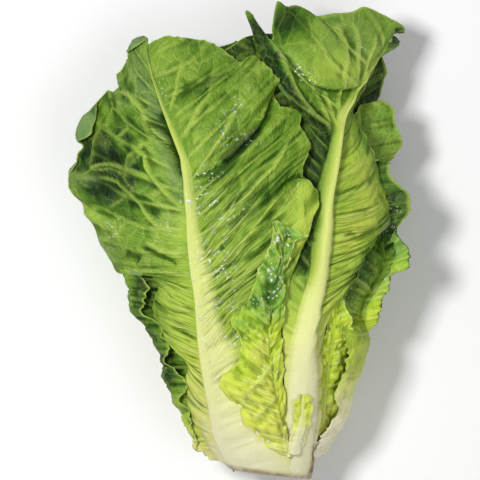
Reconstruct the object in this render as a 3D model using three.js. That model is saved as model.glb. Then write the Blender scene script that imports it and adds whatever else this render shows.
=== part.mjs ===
// A romaine lettuce heart lying on its back.
// Millimetres. +Z is up, +Y runs from the cut butt to the leaf tips, the flattened underside is at z = 0.
import * as THREE from 'three';

// The body of the head at stations along it:
// y, middle in x, half width, half height, height of the underside.
const HEAD = [
  [-133, 17, 22, 20, 6],
  [-116, 13, 35, 26, 4],
  [-100, 12, 44, 31, 2],
  [-78, 10, 53, 36, 0],
  [-56, 11, 60, 41, -2],
  [-34, 8, 70, 44, -2],
  [-12, 9, 81, 46, -2],
  [10, 3, 87, 47, -2],
  [32, -3, 89, 47, -2],
  [54, -1, 88, 45, -2],
  [76, 2, 81, 40, 0],
  [98, 8, 75, 33, 3],
  [120, 12, 76, 25, 7],
  [134, 13, 74, 20, 11],
];

// The knife cut across the butt slants a little: its y falls by CUT_SLANT for every millimetre of x.
const CUT_Y = -127;
const CUT_SLANT = 0.14;

const RIB_EDGE = 0.22; // how far from the midline towards the margin the rib's foot is
const RIB_TOP = 0.09; // and its crest
const MARGIN = 1.0; // thickness of a leaf at its margin

const COLOURS = {
  outer: ['#7f9f49', 0.45],
  inner: ['#a9bd55', 0.45],
  shoot: ['#b4cc4a', 0.5],
  butt: ['#d8cfa9', 0.6],
};

const radians = THREE.MathUtils.degToRad;
const degrees = THREE.MathUtils.radToDeg;
const mix = THREE.MathUtils.lerp;

// A smooth curve through rows of numbers, read at a value of the first column.
function smooth(rows, at, column) {
  const last = rows.length - 1;
  if (at <= rows[0][0]) {
    return rows[0][column];
  }
  if (at >= rows[last][0]) {
    return rows[last][column];
  }
  let k = 0;
  while (rows[k + 1][0] < at) {
    k += 1;
  }
  const slope = (i) => {
    const before = rows[Math.max(i - 1, 0)];
    const after = rows[Math.min(i + 1, last)];
    return (after[column] - before[column]) / (after[0] - before[0]);
  };
  const span = rows[k + 1][0] - rows[k][0];
  const t = (at - rows[k][0]) / span;
  const rise = t * t * (3 - 2 * t);
  return (
    mix(rows[k][column], rows[k + 1][column], rise) +
    span * slope(k) * t * (1 - t) * (1 - t) -
    span * slope(k + 1) * t * t * (1 - t)
  );
}

// A point of the head: an angle round it (0 is the top, 90 is +X), a place along it,
// and a layer from 0 at the heart's middle to 1 at the outside.
function headPoint(angle, y, layer) {
  const halfHeight = smooth(HEAD, y, 3);
  const x = smooth(HEAD, y, 1) + layer * smooth(HEAD, y, 2) * Math.sin(radians(angle));
  const z = smooth(HEAD, y, 4) + halfHeight + layer * halfHeight * Math.cos(radians(angle));
  return new THREE.Vector3(x, y, Math.max(z, 0));
}

// The angle at which the upper side of a layer of the head stands at x.
function angleOver(x, y, layer) {
  const across = (x - smooth(HEAD, y, 1)) / (layer * smooth(HEAD, y, 2));
  return degrees(Math.asin(THREE.MathUtils.clamp(across, -1, 1)));
}

// The distance from the head's middle line to its outside at an angle.
function reach(angle, y) {
  const side = smooth(HEAD, y, 2) * Math.sin(radians(angle));
  const height = smooth(HEAD, y, 3) * Math.cos(radians(angle));
  return Math.hypot(side, height);
}

function solid(name, points, faces, kind) {
  const geometry = new THREE.BufferGeometry();
  geometry.setAttribute('position', new THREE.Float32BufferAttribute(points.flatMap((p) => p.toArray()), 3));
  geometry.setIndex(faces);
  geometry.computeVertexNormals();
  const [color, roughness] = COLOURS[kind];
  const mesh = new THREE.Mesh(geometry, new THREE.MeshStandardMaterial({ color, roughness, metalness: 0 }));
  mesh.name = name;
  return mesh;
}

// A leaf between an outer and an inner skin. Its veins leave the midrib and end on the margins, and each
// vein is a row: y where it leaves the rib, the margin's place round the head, the margin's y.
function leaf(name, { kind, rib, left, right, layer, edge, flared, thick, steps, over, cut }) {
  const turn = (place, y) => (over ? angleOver(place, y, smooth(layer, y, 1)) : place);
  const flare = edge ?? [[0, 0], [1, 0]];
  const count = steps ?? 9;
  const across = [-1, -0.74, -0.46, -RIB_EDGE, -RIB_TOP, RIB_TOP, RIB_EDGE, 0.46, 0.74, 1];
  const outer = [];
  const inner = [];
  for (let i = 0; i <= count; i += 1) {
    const along = i / count;
    const startOf = (veins) => smooth(veins.map((vein, n) => [n / (veins.length - 1), vein[0]]), along, 1);
    const ribY = (startOf(left) + startOf(right)) / 2;
    const ribAngle = turn(smooth(rib, ribY, 1), ribY);
    for (const v of across) {
      const veins = v < 0 ? left : right;
      const tipY = smooth(veins, ribY, 2);
      const tipAngle = turn(smooth(veins, ribY, 1), tipY);
      const share = Math.abs(v);
      const y = mix(ribY, tipY, share);
      const angle = mix(ribAngle, tipAngle, share);
      const ridge = share <= RIB_TOP ? 1 : 0;
      const foot = share <= RIB_EDGE ? 1 : 0;
      const blade = mix(thick.blade, MARGIN, share);
      const stem = mix(thick.base, thick.tip, Math.min(1, along * 1.3));
      const depth = foot ? stem : Math.max(blade, mix(thick.base * 0.8, blade, Math.min(1, along * 3)));
      const proud = ridge * mix(thick.ridge, 0.3, along);
      const opening = flared ? smooth(flared, y, 1) : 0;
      const level = smooth(layer, y, 1) + opening * smooth(flare, share, v < 0 ? 1 : flare[0].length - 1);
      const scale = reach(angle, y);
      outer.push(headPoint(angle, y, level + proud / scale));
      inner.push(headPoint(angle, y, level - depth / scale));
    }
  }
  if (cut) {
    for (const point of [...outer.slice(0, across.length), ...inner.slice(0, across.length)]) {
      point.y = CUT_Y - CUT_SLANT * point.x;
    }
  }
  return solid(name, [...outer, ...inner], skinFaces(count, across.length), kind);
}

// Triangles of two matching grids, the outer one first, closed round their four sides.
function skinFaces(rows, columns) {
  const faces = [];
  const half = (rows + 1) * columns;
  const quad = (a, b, c, d) => faces.push(a, b, c, a, c, d);
  for (let i = 0; i < rows; i += 1) {
    for (let j = 0; j + 1 < columns; j += 1) {
      const a = i * columns + j;
      quad(a, a + 1, a + columns + 1, a + columns);
      quad(half + a, half + a + columns, half + a + columns + 1, half + a + 1);
    }
  }
  const rim = [];
  for (let j = 0; j + 1 < columns; j += 1) {
    rim.push(j);
  }
  for (let i = 0; i < rows; i += 1) {
    rim.push(i * columns + columns - 1);
  }
  for (let j = columns - 1; j > 0; j -= 1) {
    rim.push(rows * columns + j);
  }
  for (let i = rows; i > 0; i -= 1) {
    rim.push(i * columns);
  }
  rim.forEach((a, n) => {
    const b = rim[(n + 1) % rim.length];
    quad(b, a, half + a, half + b);
  });
  return faces;
}

// The stem inside the head: a cone with a rounded top, flat where the knife went through.
function stem() {
  const rings = [[-118, 0.58], [-104, 0.36], [-94, 0.2], [-86, 0.09]];
  const sides = 20;
  const points = [];
  const faces = [];
  const ring = (y, layer, slant) => {
    for (let s = 0; s < sides; s += 1) {
      const point = headPoint((360 * s) / sides, y, layer);
      if (slant) {
        point.y = CUT_Y - CUT_SLANT * point.x;
      }
      points.push(point);
    }
  };
  ring(-130, 0.62, true);
  rings.forEach(([y, layer]) => ring(y, layer, false));
  const top = points.push(headPoint(0, -81, 0)) - 1;
  const bottom = points.push(headPoint(0, -130, 0)) - 1;
  points[bottom].y = CUT_Y - CUT_SLANT * points[bottom].x;
  for (let s = 0; s < sides; s += 1) {
    const next = (s + 1) % sides;
    faces.push(bottom, next, s);
    for (let r = 0; r < rings.length; r += 1) {
      const a = r * sides + s;
      const b = r * sides + next;
      faces.push(a, b, b + sides, a, b + sides, a + sides);
    }
    faces.push(rings.length * sides + s, rings.length * sides + next, top);
  }
  return solid('stem_core', points, faces, 'butt');
}

// A leaf that wraps the heart evenly: half as wide at its base, widest two thirds up, rounded at the tip.
function wrapped(name, { turn, base, tip, wide, layer, kind, thick, steps, cut }) {
  const rib = [[base, turn], [tip, turn]];
  const side = (sign) => {
    const shape = [
      [0, 0.42, 0], [0.2, 0.62, 0.22], [0.45, 0.9, 0.5], [0.7, 1, 0.74], [0.88, 0.8, 0.93], [1, 0.2, 1],
    ];
    return shape.map(([from, out, to]) => [
      mix(base, tip - 4, from),
      turn + sign * wide * out,
      mix(base, tip, to),
    ]);
  };
  return leaf(name, { kind, rib, left: side(-1), right: side(1), layer, thick, steps, cut });
}

const HEAVY = { base: 5, tip: 1.6, blade: 1.6, ridge: 2.4 };
const LIGHT = { base: 3, tip: 1.4, blade: 1.4, ridge: 1.2 };
const SMALL = { base: 2, tip: 1.2, blade: 1.2, ridge: 0.8 };

const group = new THREE.Group();
group.name = 'romaine_heart';
group.add(stem());

// The two big outer leaves on top, placed by x and y over the upper side of the head.
group.add(leaf('outer_leaf_left', {
  kind: 'outer',
  over: true,
  cut: true,
  steps: 38,
  thick: HEAVY,
  layer: [[-130, 1], [-60, 1], [130, 1]],
  rib: [
    [-130, 6], [-118, -4], [-108, -10], [-92, -14.5], [-60, -18.5], [-33, -21.5], [0, -25.5], [16, -26.8],
    [38, -30], [50, -33.6], [63, -38], [76, -42.8], [90, -48], [104, -52],
  ],
  left: [
    [-128, -5, -126], [-118, -19, -117.5], [-110, -25, -106], [-98, -31.5, -86], [-88, -33, -69],
    [-80, -35, -61], [-70, -42, -54], [-60, -47, -46], [-50, -50, -36], [-40, -49, -26], [-30, -54, -17],
    [-22, -62, -13], [-15, -69, -10], [-7, -78, -1], [-2, -82, 10], [4, -86, 20], [8, -91, 27],
    [12, -93, 33], [16, -92, 40.5], [20, -90, 45], [25, -90, 52], [29, -87.5, 58], [34, -84.5, 66],
    [39, -80.5, 72], [45, -77, 79], [50, -74, 82.5], [54, -71, 84], [58, -69, 87], [62, -68.2, 90],
    [67, -66.5, 94], [75, -63.5, 99], [84, -60.5, 104], [92, -57.5, 107.5], [99, -54.5, 110],
    [103, -52, 111],
  ],
  right: [
    [-129, 25.5, -131], [-116, 24, -116], [-104, 22, -100], [-94, 20, -84], [-84, 19, -68], [-74, 20, -52],
    [-65, 24, -34], [-57, 29, -16], [-50, 34, -4], [-43, 37.5, 5], [-36, 38, 12], [-29, 41, 19],
    [-22, 41.5, 26], [-16, 37, 31], [-11, 35, 38], [-5, 37, 46], [1, 37.5, 53], [7, 34, 59], [12, 32, 63],
    [17, 33.5, 69], [22, 29, 71.5], [27, 23, 74], [31, 19, 80], [36, 20, 86], [42, 17, 91], [50, 12, 97],
    [57, 7, 100], [63, 3.5, 99.5], [68, 0.5, 98], [74, -4.5, 100.5], [80, -11.5, 105.5], [86, -20, 109.5],
    [92, -29, 111], [97, -38, 112], [101, -44, 111.5], [104, -48.5, 110.5],
  ],
}));
group.add(leaf('outer_leaf_right', {
  kind: 'outer',
  over: true,
  cut: true,
  steps: 42,
  thick: HEAVY,
  layer: [[-130, 1], [-80, 0.99], [-30, 0.93], [85, 0.93], [112, 1]],
  rib: [
    [-131, 31], [-100, 32], [-80, 32.4], [-60, 33.4], [-40, 35.8], [-20, 38.6], [0, 40.8], [20, 43.2],
    [40, 47.4], [56, 50.2], [66, 52.9], [80, 61.2], [90, 67.5], [100, 74.6], [115, 82],
  ],
  left: [
    [-130, 26.3, -130], [-105, 27, -104], [-83, 24, -82], [-60, 23, -57], [-45, 23, -34], [-30, 26, -12],
    [-10, 29, 10], [8, 30.5, 30], [24, 31.5, 46], [36, 31.5, 60], [44, 28, 73], [50, 22, 85], [54, 16, 95],
    [58, 10, 105], [61, 5.5, 115], [65, 2, 125], [70, 8, 120], [73, 15, 113], [76, 16.5, 120],
    [79, 18.5, 129], [83, 23.4, 128], [87, 29, 128], [90, 35, 125.5], [93, 40.5, 123.5], [96, 48, 124.5],
    [99, 58, 125.5], [102, 65.5, 128], [105, 74.6, 125.5], [108, 80, 122.5], [111, 85.5, 119],
  ],
  right: [
    [-131, 38, -131], [-105, 41, -106], [-83, 42, -83], [-66, 43, -66], [-56, 44.5, -50], [-48, 48, -40],
    [-40, 52, -30], [-34, 56, -25.5], [-28, 61, -20.5], [-18, 66, -12], [-9, 70, -5], [0, 74, 4],
    [9, 77.5, 12.5], [17, 78.5, 20], [26, 78.5, 28], [34, 77, 36], [42, 75, 44], [50, 71.5, 53],
    [57, 67.5, 61],
    [64, 65, 68], [72, 66, 76], [80, 71, 84], [92, 76.5, 96], [100, 80, 103], [106, 86, 107],
    [110, 88.5, 112],
  ],
}));

// Side shoots that grew in the axils of leaves already stripped off.
group.add(leaf('side_shoot_middle', {
  kind: 'shoot',
  over: true,
  steps: 16,
  thick: SMALL,
  layer: [[-120, 1.09], [-100, 1.1], [-60, 1.12], [14, 1.12]],
  rib: [[-119, 25], [-85, 18], [-60, 15.5], [-33, 17], [-6, 23], [9, 26]],
  left: [
    [-118, 20, -117], [-112, 13, -113], [-106, 6.4, -105], [-98, 0, -97], [-92, -6, -87], [-86, -11, -81],
    [-78, -9, -72], [-70, -3.5, -65], [-62, -1.2, -58], [-54, -3, -49.5], [-47, -5.5, -43], [-40, -2, -36],
    [-32, 3, -30.5], [-26, 8, -24], [-19, 11, -16], [-10, 17, -8], [-1, 19.6, 2], [6, 21.5, 10],
  ],
  right: [
    [-118, 27, -118], [-104, 26, -106], [-92, 25.2, -94], [-80, 24.3, -80], [-66, 23.4, -65],
    [-52, 23, -51], [-40, 23.8, -38], [-30, 25, -28], [-20, 26, -18], [-12, 28, -9], [-4, 30.4, -3],
    [3, 30, 4], [8, 28, 10],
  ],
}));
group.add(leaf('baby_leaf', {
  kind: 'shoot',
  over: true,
  steps: 5,
  thick: SMALL,
  layer: [[-120, 1.13], [-84, 1.13]],
  rib: [[-118, 29], [-104, 32], [-84, 33.5]],
  left: [[-118, 27.5, -118], [-108, 28, -108], [-98, 29, -97], [-90, 29.6, -89], [-86, 32.5, -85]],
  right: [[-118, 31, -118], [-108, 35.5, -108], [-98, 37.6, -96], [-90, 37, -88], [-86, 34.5, -85]],
}));
group.add(leaf('side_shoot_right', {
  kind: 'shoot',
  over: true,
  steps: 7,
  thick: SMALL,
  layer: [[-106, 1.03], [-26, 1.03]],
  rib: [[-106, 45], [-76, 47], [-50, 51], [-27, 55]],
  left: [[-104, 43.2, -104], [-90, 43, -90], [-76, 43, -74], [-60, 44, -58], [-46, 47, -42], [-34, 52, -28]],
  right: [[-104, 45.5, -104], [-90, 49, -90], [-76, 53, -72], [-60, 57, -56], [-46, 58, -42], [-34, 56, -28]],
}));

// Leaves seen round the edges of the two big ones, placed by the angle round the head.
group.add(leaf('pale_leaf_right', {
  kind: 'inner',
  steps: 11,
  thick: LIGHT,
  layer: [[-119, 0.98], [-90, 0.98], [-60, 0.97], [-42, 0.95]],
  rib: [[-119, 94], [-38, 92]],
  left: [
    [-118, 66, -119], [-110, 60, -109], [-100, 55, -99], [-92, 53, -90], [-82, 49, -80], [-72, 50, -68],
    [-60, 50, -55], [-50, 45, -48], [-44, 48, -44],
  ],
  right: [
    [-118, 110, -119], [-110, 119, -109], [-92, 119, -92], [-74, 119, -70], [-56, 116, -50],
    [-42, 98, -40],
  ],
}));
group.add(leaf('ruffled_leaf_right', {
  kind: 'outer',
  steps: 12,
  thick: LIGHT,
  layer: [[-112, 0.78], [-90, 0.82], [-60, 0.86], [20, 0.865], [50, 0.875]],
  edge: [[0, 0, -0.02], [0.4, -0.02, -0.02], [0.8, -0.02, -0.01], [1, -0.02, 0.15]],
  flared: [[-41, 0], [-35, 1], [-26, 1], [-14, 1.3], [-2, 1], [9, 0.8], [17, 1], [28, 0.7], [37, 0], [46, 0]],
  rib: [[-112, 84], [-60, 80], [20, 82], [44, 79]],
  left: [
    [-110, 66, -110], [-86, 60, -84], [-62, 54, -56], [-40, 53, -30], [-18, 57, -6], [4, 58, 14],
    [22, 60, 32], [40, 70, 44],
  ],
  right: [
    [-110, 104, -110], [-86, 112, -84], [-68, 108, -62], [-56, 98, -49], [-46, 93, -40], [-37, 92, -31],
    [-28, 92, -22], [-18, 94, -13], [-8, 96, -4], [2, 96, 6], [12, 95, 15], [22, 92, 26], [32, 88, 35],
    [40, 84, 44],
  ],
}));
group.add(leaf('back_leaf_right', {
  kind: 'outer',
  steps: 11,
  thick: LIGHT,
  layer: [[-108, 0.68], [-80, 0.74], [-40, 0.77], [90, 0.79]],
  edge: [[0, 0.06, 0.06], [0.4, 0.05, 0.18], [1, 0, 0.26]],
  flared: [[38, 0], [52, 0.9], [80, 1]],
  rib: [[-108, 96], [-20, 86], [74, 76]],
  left: [
    [-106, 76, -106], [-80, 64, -78], [-50, 52, -44], [-20, 50, -10], [8, 50, 22], [34, 54, 47],
    [54, 58, 64], [68, 68, 74],
  ],
  right: [
    [-106, 106, -106], [-80, 122, -78], [-50, 124, -44], [-20, 118, -10], [8, 110, 20], [34, 100, 46],
    [54, 92, 64],
    [68, 84, 73],
  ],
}));
group.add(leaf('tall_leaf_right', {
  kind: 'outer',
  steps: 11,
  thick: LIGHT,
  layer: [[-104, 0.58], [-80, 0.63], [-40, 0.68], [74, 0.7], [92, 0.76], [105, 0.78]],
  edge: [[0, 0.02, 0.02], [0.4, 0, 0.16], [1, 0, 0.22]],
  flared: [[68, 0], [78, 0.9], [90, 0.7], [105, 0.5]],
  rib: [[-104, 66], [0, 62], [100, 66]],
  left: [
    [-102, 46, -102], [-76, 34, -72], [-46, 24, -36], [-14, 22, 0], [18, 26, 36], [48, 34, 66],
    [76, 44, 88], [94, 58, 101],
  ],
  right: [
    [-102, 86, -102], [-76, 98, -72], [-46, 104, -36], [-14, 104, 0], [18, 102, 36], [48, 96, 66],
    [76, 90, 88],
    [94, 78, 100],
  ],
}));
group.add(leaf('ruffled_leaf_left', {
  kind: 'outer',
  steps: 11,
  thick: LIGHT,
  layer: [[-118, 0.8], [-96, 0.86], [-60, 0.9], [0, 0.91]],
  edge: [[0, 0, 0], [0.5, 0.02, 0], [1, 0.09, 0]],
  flared: [
    [-112, 0], [-104, 0.6], [-84, 0.7], [-70, 0.5], [-56, 1], [-46, 0.8], [-30, 1.2], [-20, 1], [-8, 0],
  ],
  rib: [[-116, -70], [-60, -68], [-4, -66]],
  right: [
    [-114, -46, -115], [-96, -44, -95], [-76, -44, -73], [-58, -44, -52], [-42, -44, -34], [-26, -46, -18],
    [-10, -54, -5],
  ],
  left: [
    [-115, -84, -115], [-104, -88, -104], [-92, -88, -91], [-80, -88, -79], [-70, -88, -68],
    [-60, -88, -58], [-50, -88, -48], [-40, -88, -37], [-30, -88, -27], [-20, -88, -17], [-10, -80, -8],
  ],
}));
group.add(leaf('back_leaf_middle', {
  kind: 'outer',
  steps: 11,
  thick: LIGHT,
  layer: [[-100, 0.6], [-70, 0.72], [-30, 0.8], [30, 0.84], [120, 0.82]],
  rib: [[-100, -10], [0, -4], [113, 2]],
  left: [
    [-98, -32, -98], [-72, -46, -68], [-44, -56, -34], [-12, -60, 0], [22, -58, 36], [54, -46, 68],
    [84, -30, 96],
    [110, -8, 115],
  ],
  right: [
    [-98, 12, -98], [-72, 22, -68], [-44, 24, -34], [-12, 22, 0], [22, 24, 36], [54, 28, 68], [84, 26, 96],
    [108, 12, 113],
  ],
}));

// The underside: the head rests on the middle one.
group.add(wrapped('under_leaf_middle', {
  turn: 180, base: -129, tip: 112, wide: 58, kind: 'outer', thick: HEAVY, steps: 14, cut: true,
  layer: [[-130, 1], [120, 1]],
}));
group.add(wrapped('under_leaf_left', {
  turn: 232, base: -116, tip: 96, wide: 52, kind: 'outer', thick: LIGHT, steps: 11,
  layer: [[-116, 0.7], [-96, 0.74], [-80, 0.8], [-50, 0.84], [100, 0.84]],
}));
group.add(wrapped('under_leaf_outer', {
  turn: 160, base: -118, tip: 104, wide: 40, kind: 'outer', thick: LIGHT, steps: 11,
  layer: [[-118, 0.78], [-90, 0.82], [-50, 0.88], [-20, 0.9], [100, 0.91]],
}));
group.add(wrapped('under_leaf_right', {
  turn: 136, base: -114, tip: 92, wide: 54, kind: 'outer', thick: LIGHT, steps: 11,
  layer: [[-114, 0.66], [-90, 0.61], [-60, 0.58], [-20, 0.6], [100, 0.62]],
}));

// The heart: ever smaller leaves, each a turn of about 137 degrees on from the one outside it.
const HEART = [
  ['heart_leaf_1', 330, -96, 84, 92, 0.56],
  ['heart_leaf_2', 193, -92, 78, 92, 0.48],
  ['heart_leaf_3', 56, -88, 72, 92, 0.4],
  ['heart_leaf_4', 278, -84, 64, 92, 0.31],
  ['heart_leaf_5', 141, -80, 54, 92, 0.22],
  ['heart_leaf_6', 4, -76, 44, 92, 0.13],
];
for (const [name, turn, base, tip, wide, outside] of HEART) {
  const layer = [[base, outside * 0.8], [-50, outside], [100, outside]];
  group.add(wrapped(name, { turn, base, tip, wide, kind: 'inner', thick: SMALL, steps: 9, layer }));
}

// The origin goes to the middle of the footprint, on the surface the head lies on.
const box = new THREE.Box3().setFromObject(group);
const middle = box.getCenter(new THREE.Vector3());
for (const mesh of group.children) {
  mesh.geometry.translate(-middle.x, -middle.y, -box.min.z);
}

export default group;
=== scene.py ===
import math

import bpy
import numpy as np
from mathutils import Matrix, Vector


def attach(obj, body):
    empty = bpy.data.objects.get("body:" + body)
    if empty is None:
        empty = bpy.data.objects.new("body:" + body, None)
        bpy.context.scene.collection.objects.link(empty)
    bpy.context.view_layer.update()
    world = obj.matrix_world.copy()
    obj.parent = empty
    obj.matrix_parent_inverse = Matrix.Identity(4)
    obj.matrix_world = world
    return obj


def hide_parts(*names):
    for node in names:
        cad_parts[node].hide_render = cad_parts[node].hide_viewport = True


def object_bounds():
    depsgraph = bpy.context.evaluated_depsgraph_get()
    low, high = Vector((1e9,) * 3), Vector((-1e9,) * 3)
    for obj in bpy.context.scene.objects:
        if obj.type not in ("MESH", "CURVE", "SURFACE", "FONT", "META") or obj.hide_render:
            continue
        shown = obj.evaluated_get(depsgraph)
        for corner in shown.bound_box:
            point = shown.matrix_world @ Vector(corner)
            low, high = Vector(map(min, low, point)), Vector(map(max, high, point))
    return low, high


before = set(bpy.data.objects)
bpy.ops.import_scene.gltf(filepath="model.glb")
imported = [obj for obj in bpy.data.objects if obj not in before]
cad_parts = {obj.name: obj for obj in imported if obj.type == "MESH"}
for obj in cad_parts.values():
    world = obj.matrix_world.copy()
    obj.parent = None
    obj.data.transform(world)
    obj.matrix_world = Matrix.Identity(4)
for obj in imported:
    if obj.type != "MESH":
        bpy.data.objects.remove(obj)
cad_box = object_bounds()

# ---- the body of the head

# Stations along the head: y, middle in x, half width, half height, height of the underside.
HEAD = np.array([
    [-133, 17, 22, 20, 6], [-116, 13, 35, 26, 4], [-100, 12, 44, 31, 2], [-78, 10, 53, 36, 0],
    [-56, 11, 60, 41, -2], [-34, 8, 70, 44, -2], [-12, 9, 81, 46, -2], [10, 3, 87, 47, -2],
    [32, -3, 89, 47, -2], [54, -1, 88, 45, -2], [76, 2, 81, 40, 0], [98, 8, 75, 33, 3],
    [120, 12, 76, 25, 7], [134, 13, 74, 20, 11],
], float)

# Low corner and length of the box round the head, in the numbers used here.
HEAD_LOW, HEAD_LENGTH = np.array([-92.1, -132.3, 0]), 261.6

low, high = cad_box
MM = (high[1] - low[1]) / HEAD_LENGTH

CUT_Y, CUT_SLANT = -127, 0.14  # the knife cut: its y at x = 0, and how far y falls for every millimetre of x


def smooth(rows, at, column):
    """A smooth curve through rows of numbers, read at values of the first column."""
    rows = np.asarray(rows, float)
    keys, values, count = rows[:, 0], rows[:, column], len(rows)
    at = np.clip(at, keys[0], keys[-1])
    k = np.clip(np.searchsorted(keys, at, side="right") - 1, 0, count - 2)
    before, after = np.maximum(np.arange(count) - 1, 0), np.minimum(np.arange(count) + 1, count - 1)
    slope = (values[after] - values[before]) / (keys[after] - keys[before])
    span = keys[k + 1] - keys[k]
    t = (at - keys[k]) / span
    rise = t * t * (3 - 2 * t)
    return (values[k] + (values[k + 1] - values[k]) * rise
            + span * slope[k] * t * (1 - t) ** 2 - span * slope[k + 1] * t * t * (1 - t))


def head_point(angle, y, layer):
    """Points of the head at an angle round it, a place along it and a layer (1 is the outside)."""
    turn = np.radians(angle)
    half_height = smooth(HEAD, y, 3)
    x = smooth(HEAD, y, 1) + layer * smooth(HEAD, y, 2) * np.sin(turn)
    z = smooth(HEAD, y, 4) + half_height + layer * half_height * np.cos(turn)
    return np.stack([x, y + np.zeros_like(x), z], axis=-1)


def reach(angle, y):
    """Distance from the head's middle line to its outside at an angle."""
    turn = np.radians(angle)
    return np.hypot(smooth(HEAD, y, 2) * np.sin(turn), smooth(HEAD, y, 3) * np.cos(turn))


def angle_over(x, y, layer):
    """The angle at which the upper side of a layer of the head stands at x."""
    across = (x - smooth(HEAD, y, 1)) / (layer * smooth(HEAD, y, 2))
    return np.degrees(np.arcsin(np.clip(across, -1, 1)))


def to_world(points):
    """Millimetres in the numbers used here to metres in the frame."""
    return (points - HEAD_LOW) * MM + np.array(low)


# ---- uneven surfaces

LATTICE = 64  # cells each way before the random lattice repeats
STRAY = 0.42  # how far the middle of a bowl strays inside its cell


def noise(x, y, seed):
    """Smooth random hills between -1 and 1, about one unit across."""
    heights = np.random.default_rng(seed).uniform(-1, 1, (LATTICE, LATTICE))
    x, y = np.broadcast_arrays(np.asarray(x, float), np.asarray(y, float))
    column, row = np.floor(x).astype(int), np.floor(y).astype(int)
    across, up = x - column, y - row
    across, up = across ** 2 * (3 - 2 * across), up ** 2 * (3 - 2 * up)

    def edge(aside):
        cell = (column + aside) % LATTICE
        return heights[cell, row % LATTICE] * (1 - up) + heights[cell, (row + 1) % LATTICE] * up

    return edge(0) * (1 - across) + edge(1) * across


def bowls(x, y, seed):
    """Hollows about one unit across that meet on sharp ridges: their depth, and how near the next ridge is."""
    jitter = np.random.default_rng(seed).uniform(-STRAY, STRAY, (LATTICE, LATTICE, 3))
    x, y = np.broadcast_arrays(np.asarray(x, float), np.asarray(y, float))
    column, row = np.floor(x).astype(int), np.floor(y).astype(int)
    nearest, second = np.full(x.shape, np.inf), np.full(x.shape, np.inf)
    for i in (-1, 0, 1):
        for j in (-1, 0, 1):
            moved = jitter[(column + i) % LATTICE, (row + j) % LATTICE]
            off_x, off_y = column + i + 0.5 + moved[..., 0] - x, row + j + 0.5 + moved[..., 1] - y
            far = off_x ** 2 + off_y ** 2 + 0.5 * moved[..., 2]
            second = np.minimum(second, np.maximum(nearest, far))
            nearest = np.minimum(nearest, far)
    return nearest, second - nearest


def ease(value, low_end, high_end):
    """0 at low_end and 1 at high_end, with a smooth step between."""
    t = np.clip((value - low_end) / (high_end - low_end), 0, 1)
    return t * t * (3 - 2 * t)


def blurred(grid, cells):
    """A grid of heights averaged over a square round each point."""
    padded = np.pad(grid, cells, mode="edge")
    total = np.pad(padded.cumsum(0).cumsum(1), ((1, 0), (1, 0)))
    size = 2 * cells + 1
    return (total[size:, size:] - total[:-size, size:] - total[size:, :-size] + total[:-size, :-size]) / size ** 2


# ---- how a leaf is described

# Every leaf has its seed, grid (rows along, columns across), layer (y, share of the way from the head's middle to
# its outside), rib (y, place), midrib (y, width on the left and right, height), tone (y, from 0 pale to 1 dark
# green), and its veins on the left and right. This is what it is like unless it says otherwise.
PLAIN = {
    "over": False,  # margins placed by x over the upper side instead of by angle
    "cut": False,  # its base ends at the knife cut
    "thick": 3,  # at the thickest part of its base
    "blade": 0.5,  # thickness of the blade
    "bend": 0.12,  # how much the side veins curve
    "fold": 1.6,  # radius of a turned back flap
    "vein_gap": 11, "quilt": 0.8,
    "pleats": [[-130, 0.2, 0.2], [0, 0.6, 0.6], [130, 0.3, 0.3]],  # y on the rib, left, right
    "facets": [[0, 0, 0], [1, 0, 0]],  # y on the rib, left, right: hollow fields that meet on sharp veins
    "calm": 9,  # how far from the midrib the blade takes up its full relief
    "cell": 9, "blister": 0.5, "swell": 1.5, "ruffle": 2, "wave": 18, "teeth": 0.5,
    "tone_out": 0,  # how much greener the blade is far from its midrib
    "ridges": (),  # line, height, half width: rounded ridges, or valleys where the height is below 0
    "rib_shown": [[0, 1], [1, 1]],  # y, how much paler than its blade the midrib is
    "rib_edge": [[0, 0, 0], [1, 0, 0]],  # y, how much greener the midrib is painted at its left and right edges, as painted shade on its round sides
    "folds": (),  # line, height, reach: the blade on the line's left side stands over the other side
    "marks": {},  # tone (in places painted shade), haze (waxy bloom, in places a painted sheen), wet places (with painted glints), brown or calm (an even place): line, half width, amount
}

SIDES = (("left", -1), ("right", 1))
PLACE, MARGIN_Y, SWELL, LIFT, FLAP, FALL = range(1, 7)  # columns of a vein row, after y on the midrib


def pad_rows(rows):
    """Vein rows with their left out last numbers filled with 0."""
    return np.array([list(row) + [0] * (FALL + 1 - len(row)) for row in rows], float)


def by_side(rows, y, sign):
    """Reads rows that hold a number for the left side and one for the right."""
    return smooth(rows, y, 1 if sign < 0 else 2)


# ---- drawn lines, given as x, y, x, y and so on

LINE_STEPS = 10  # short steps between two points of a line
LINE_FADE = 0.18  # share of a line over which it fades in, and out again
NARROW = 2  # ridges narrower than this are veins
VEIN_CORE = 0.8  # half width of a vein's pale colour


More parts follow.
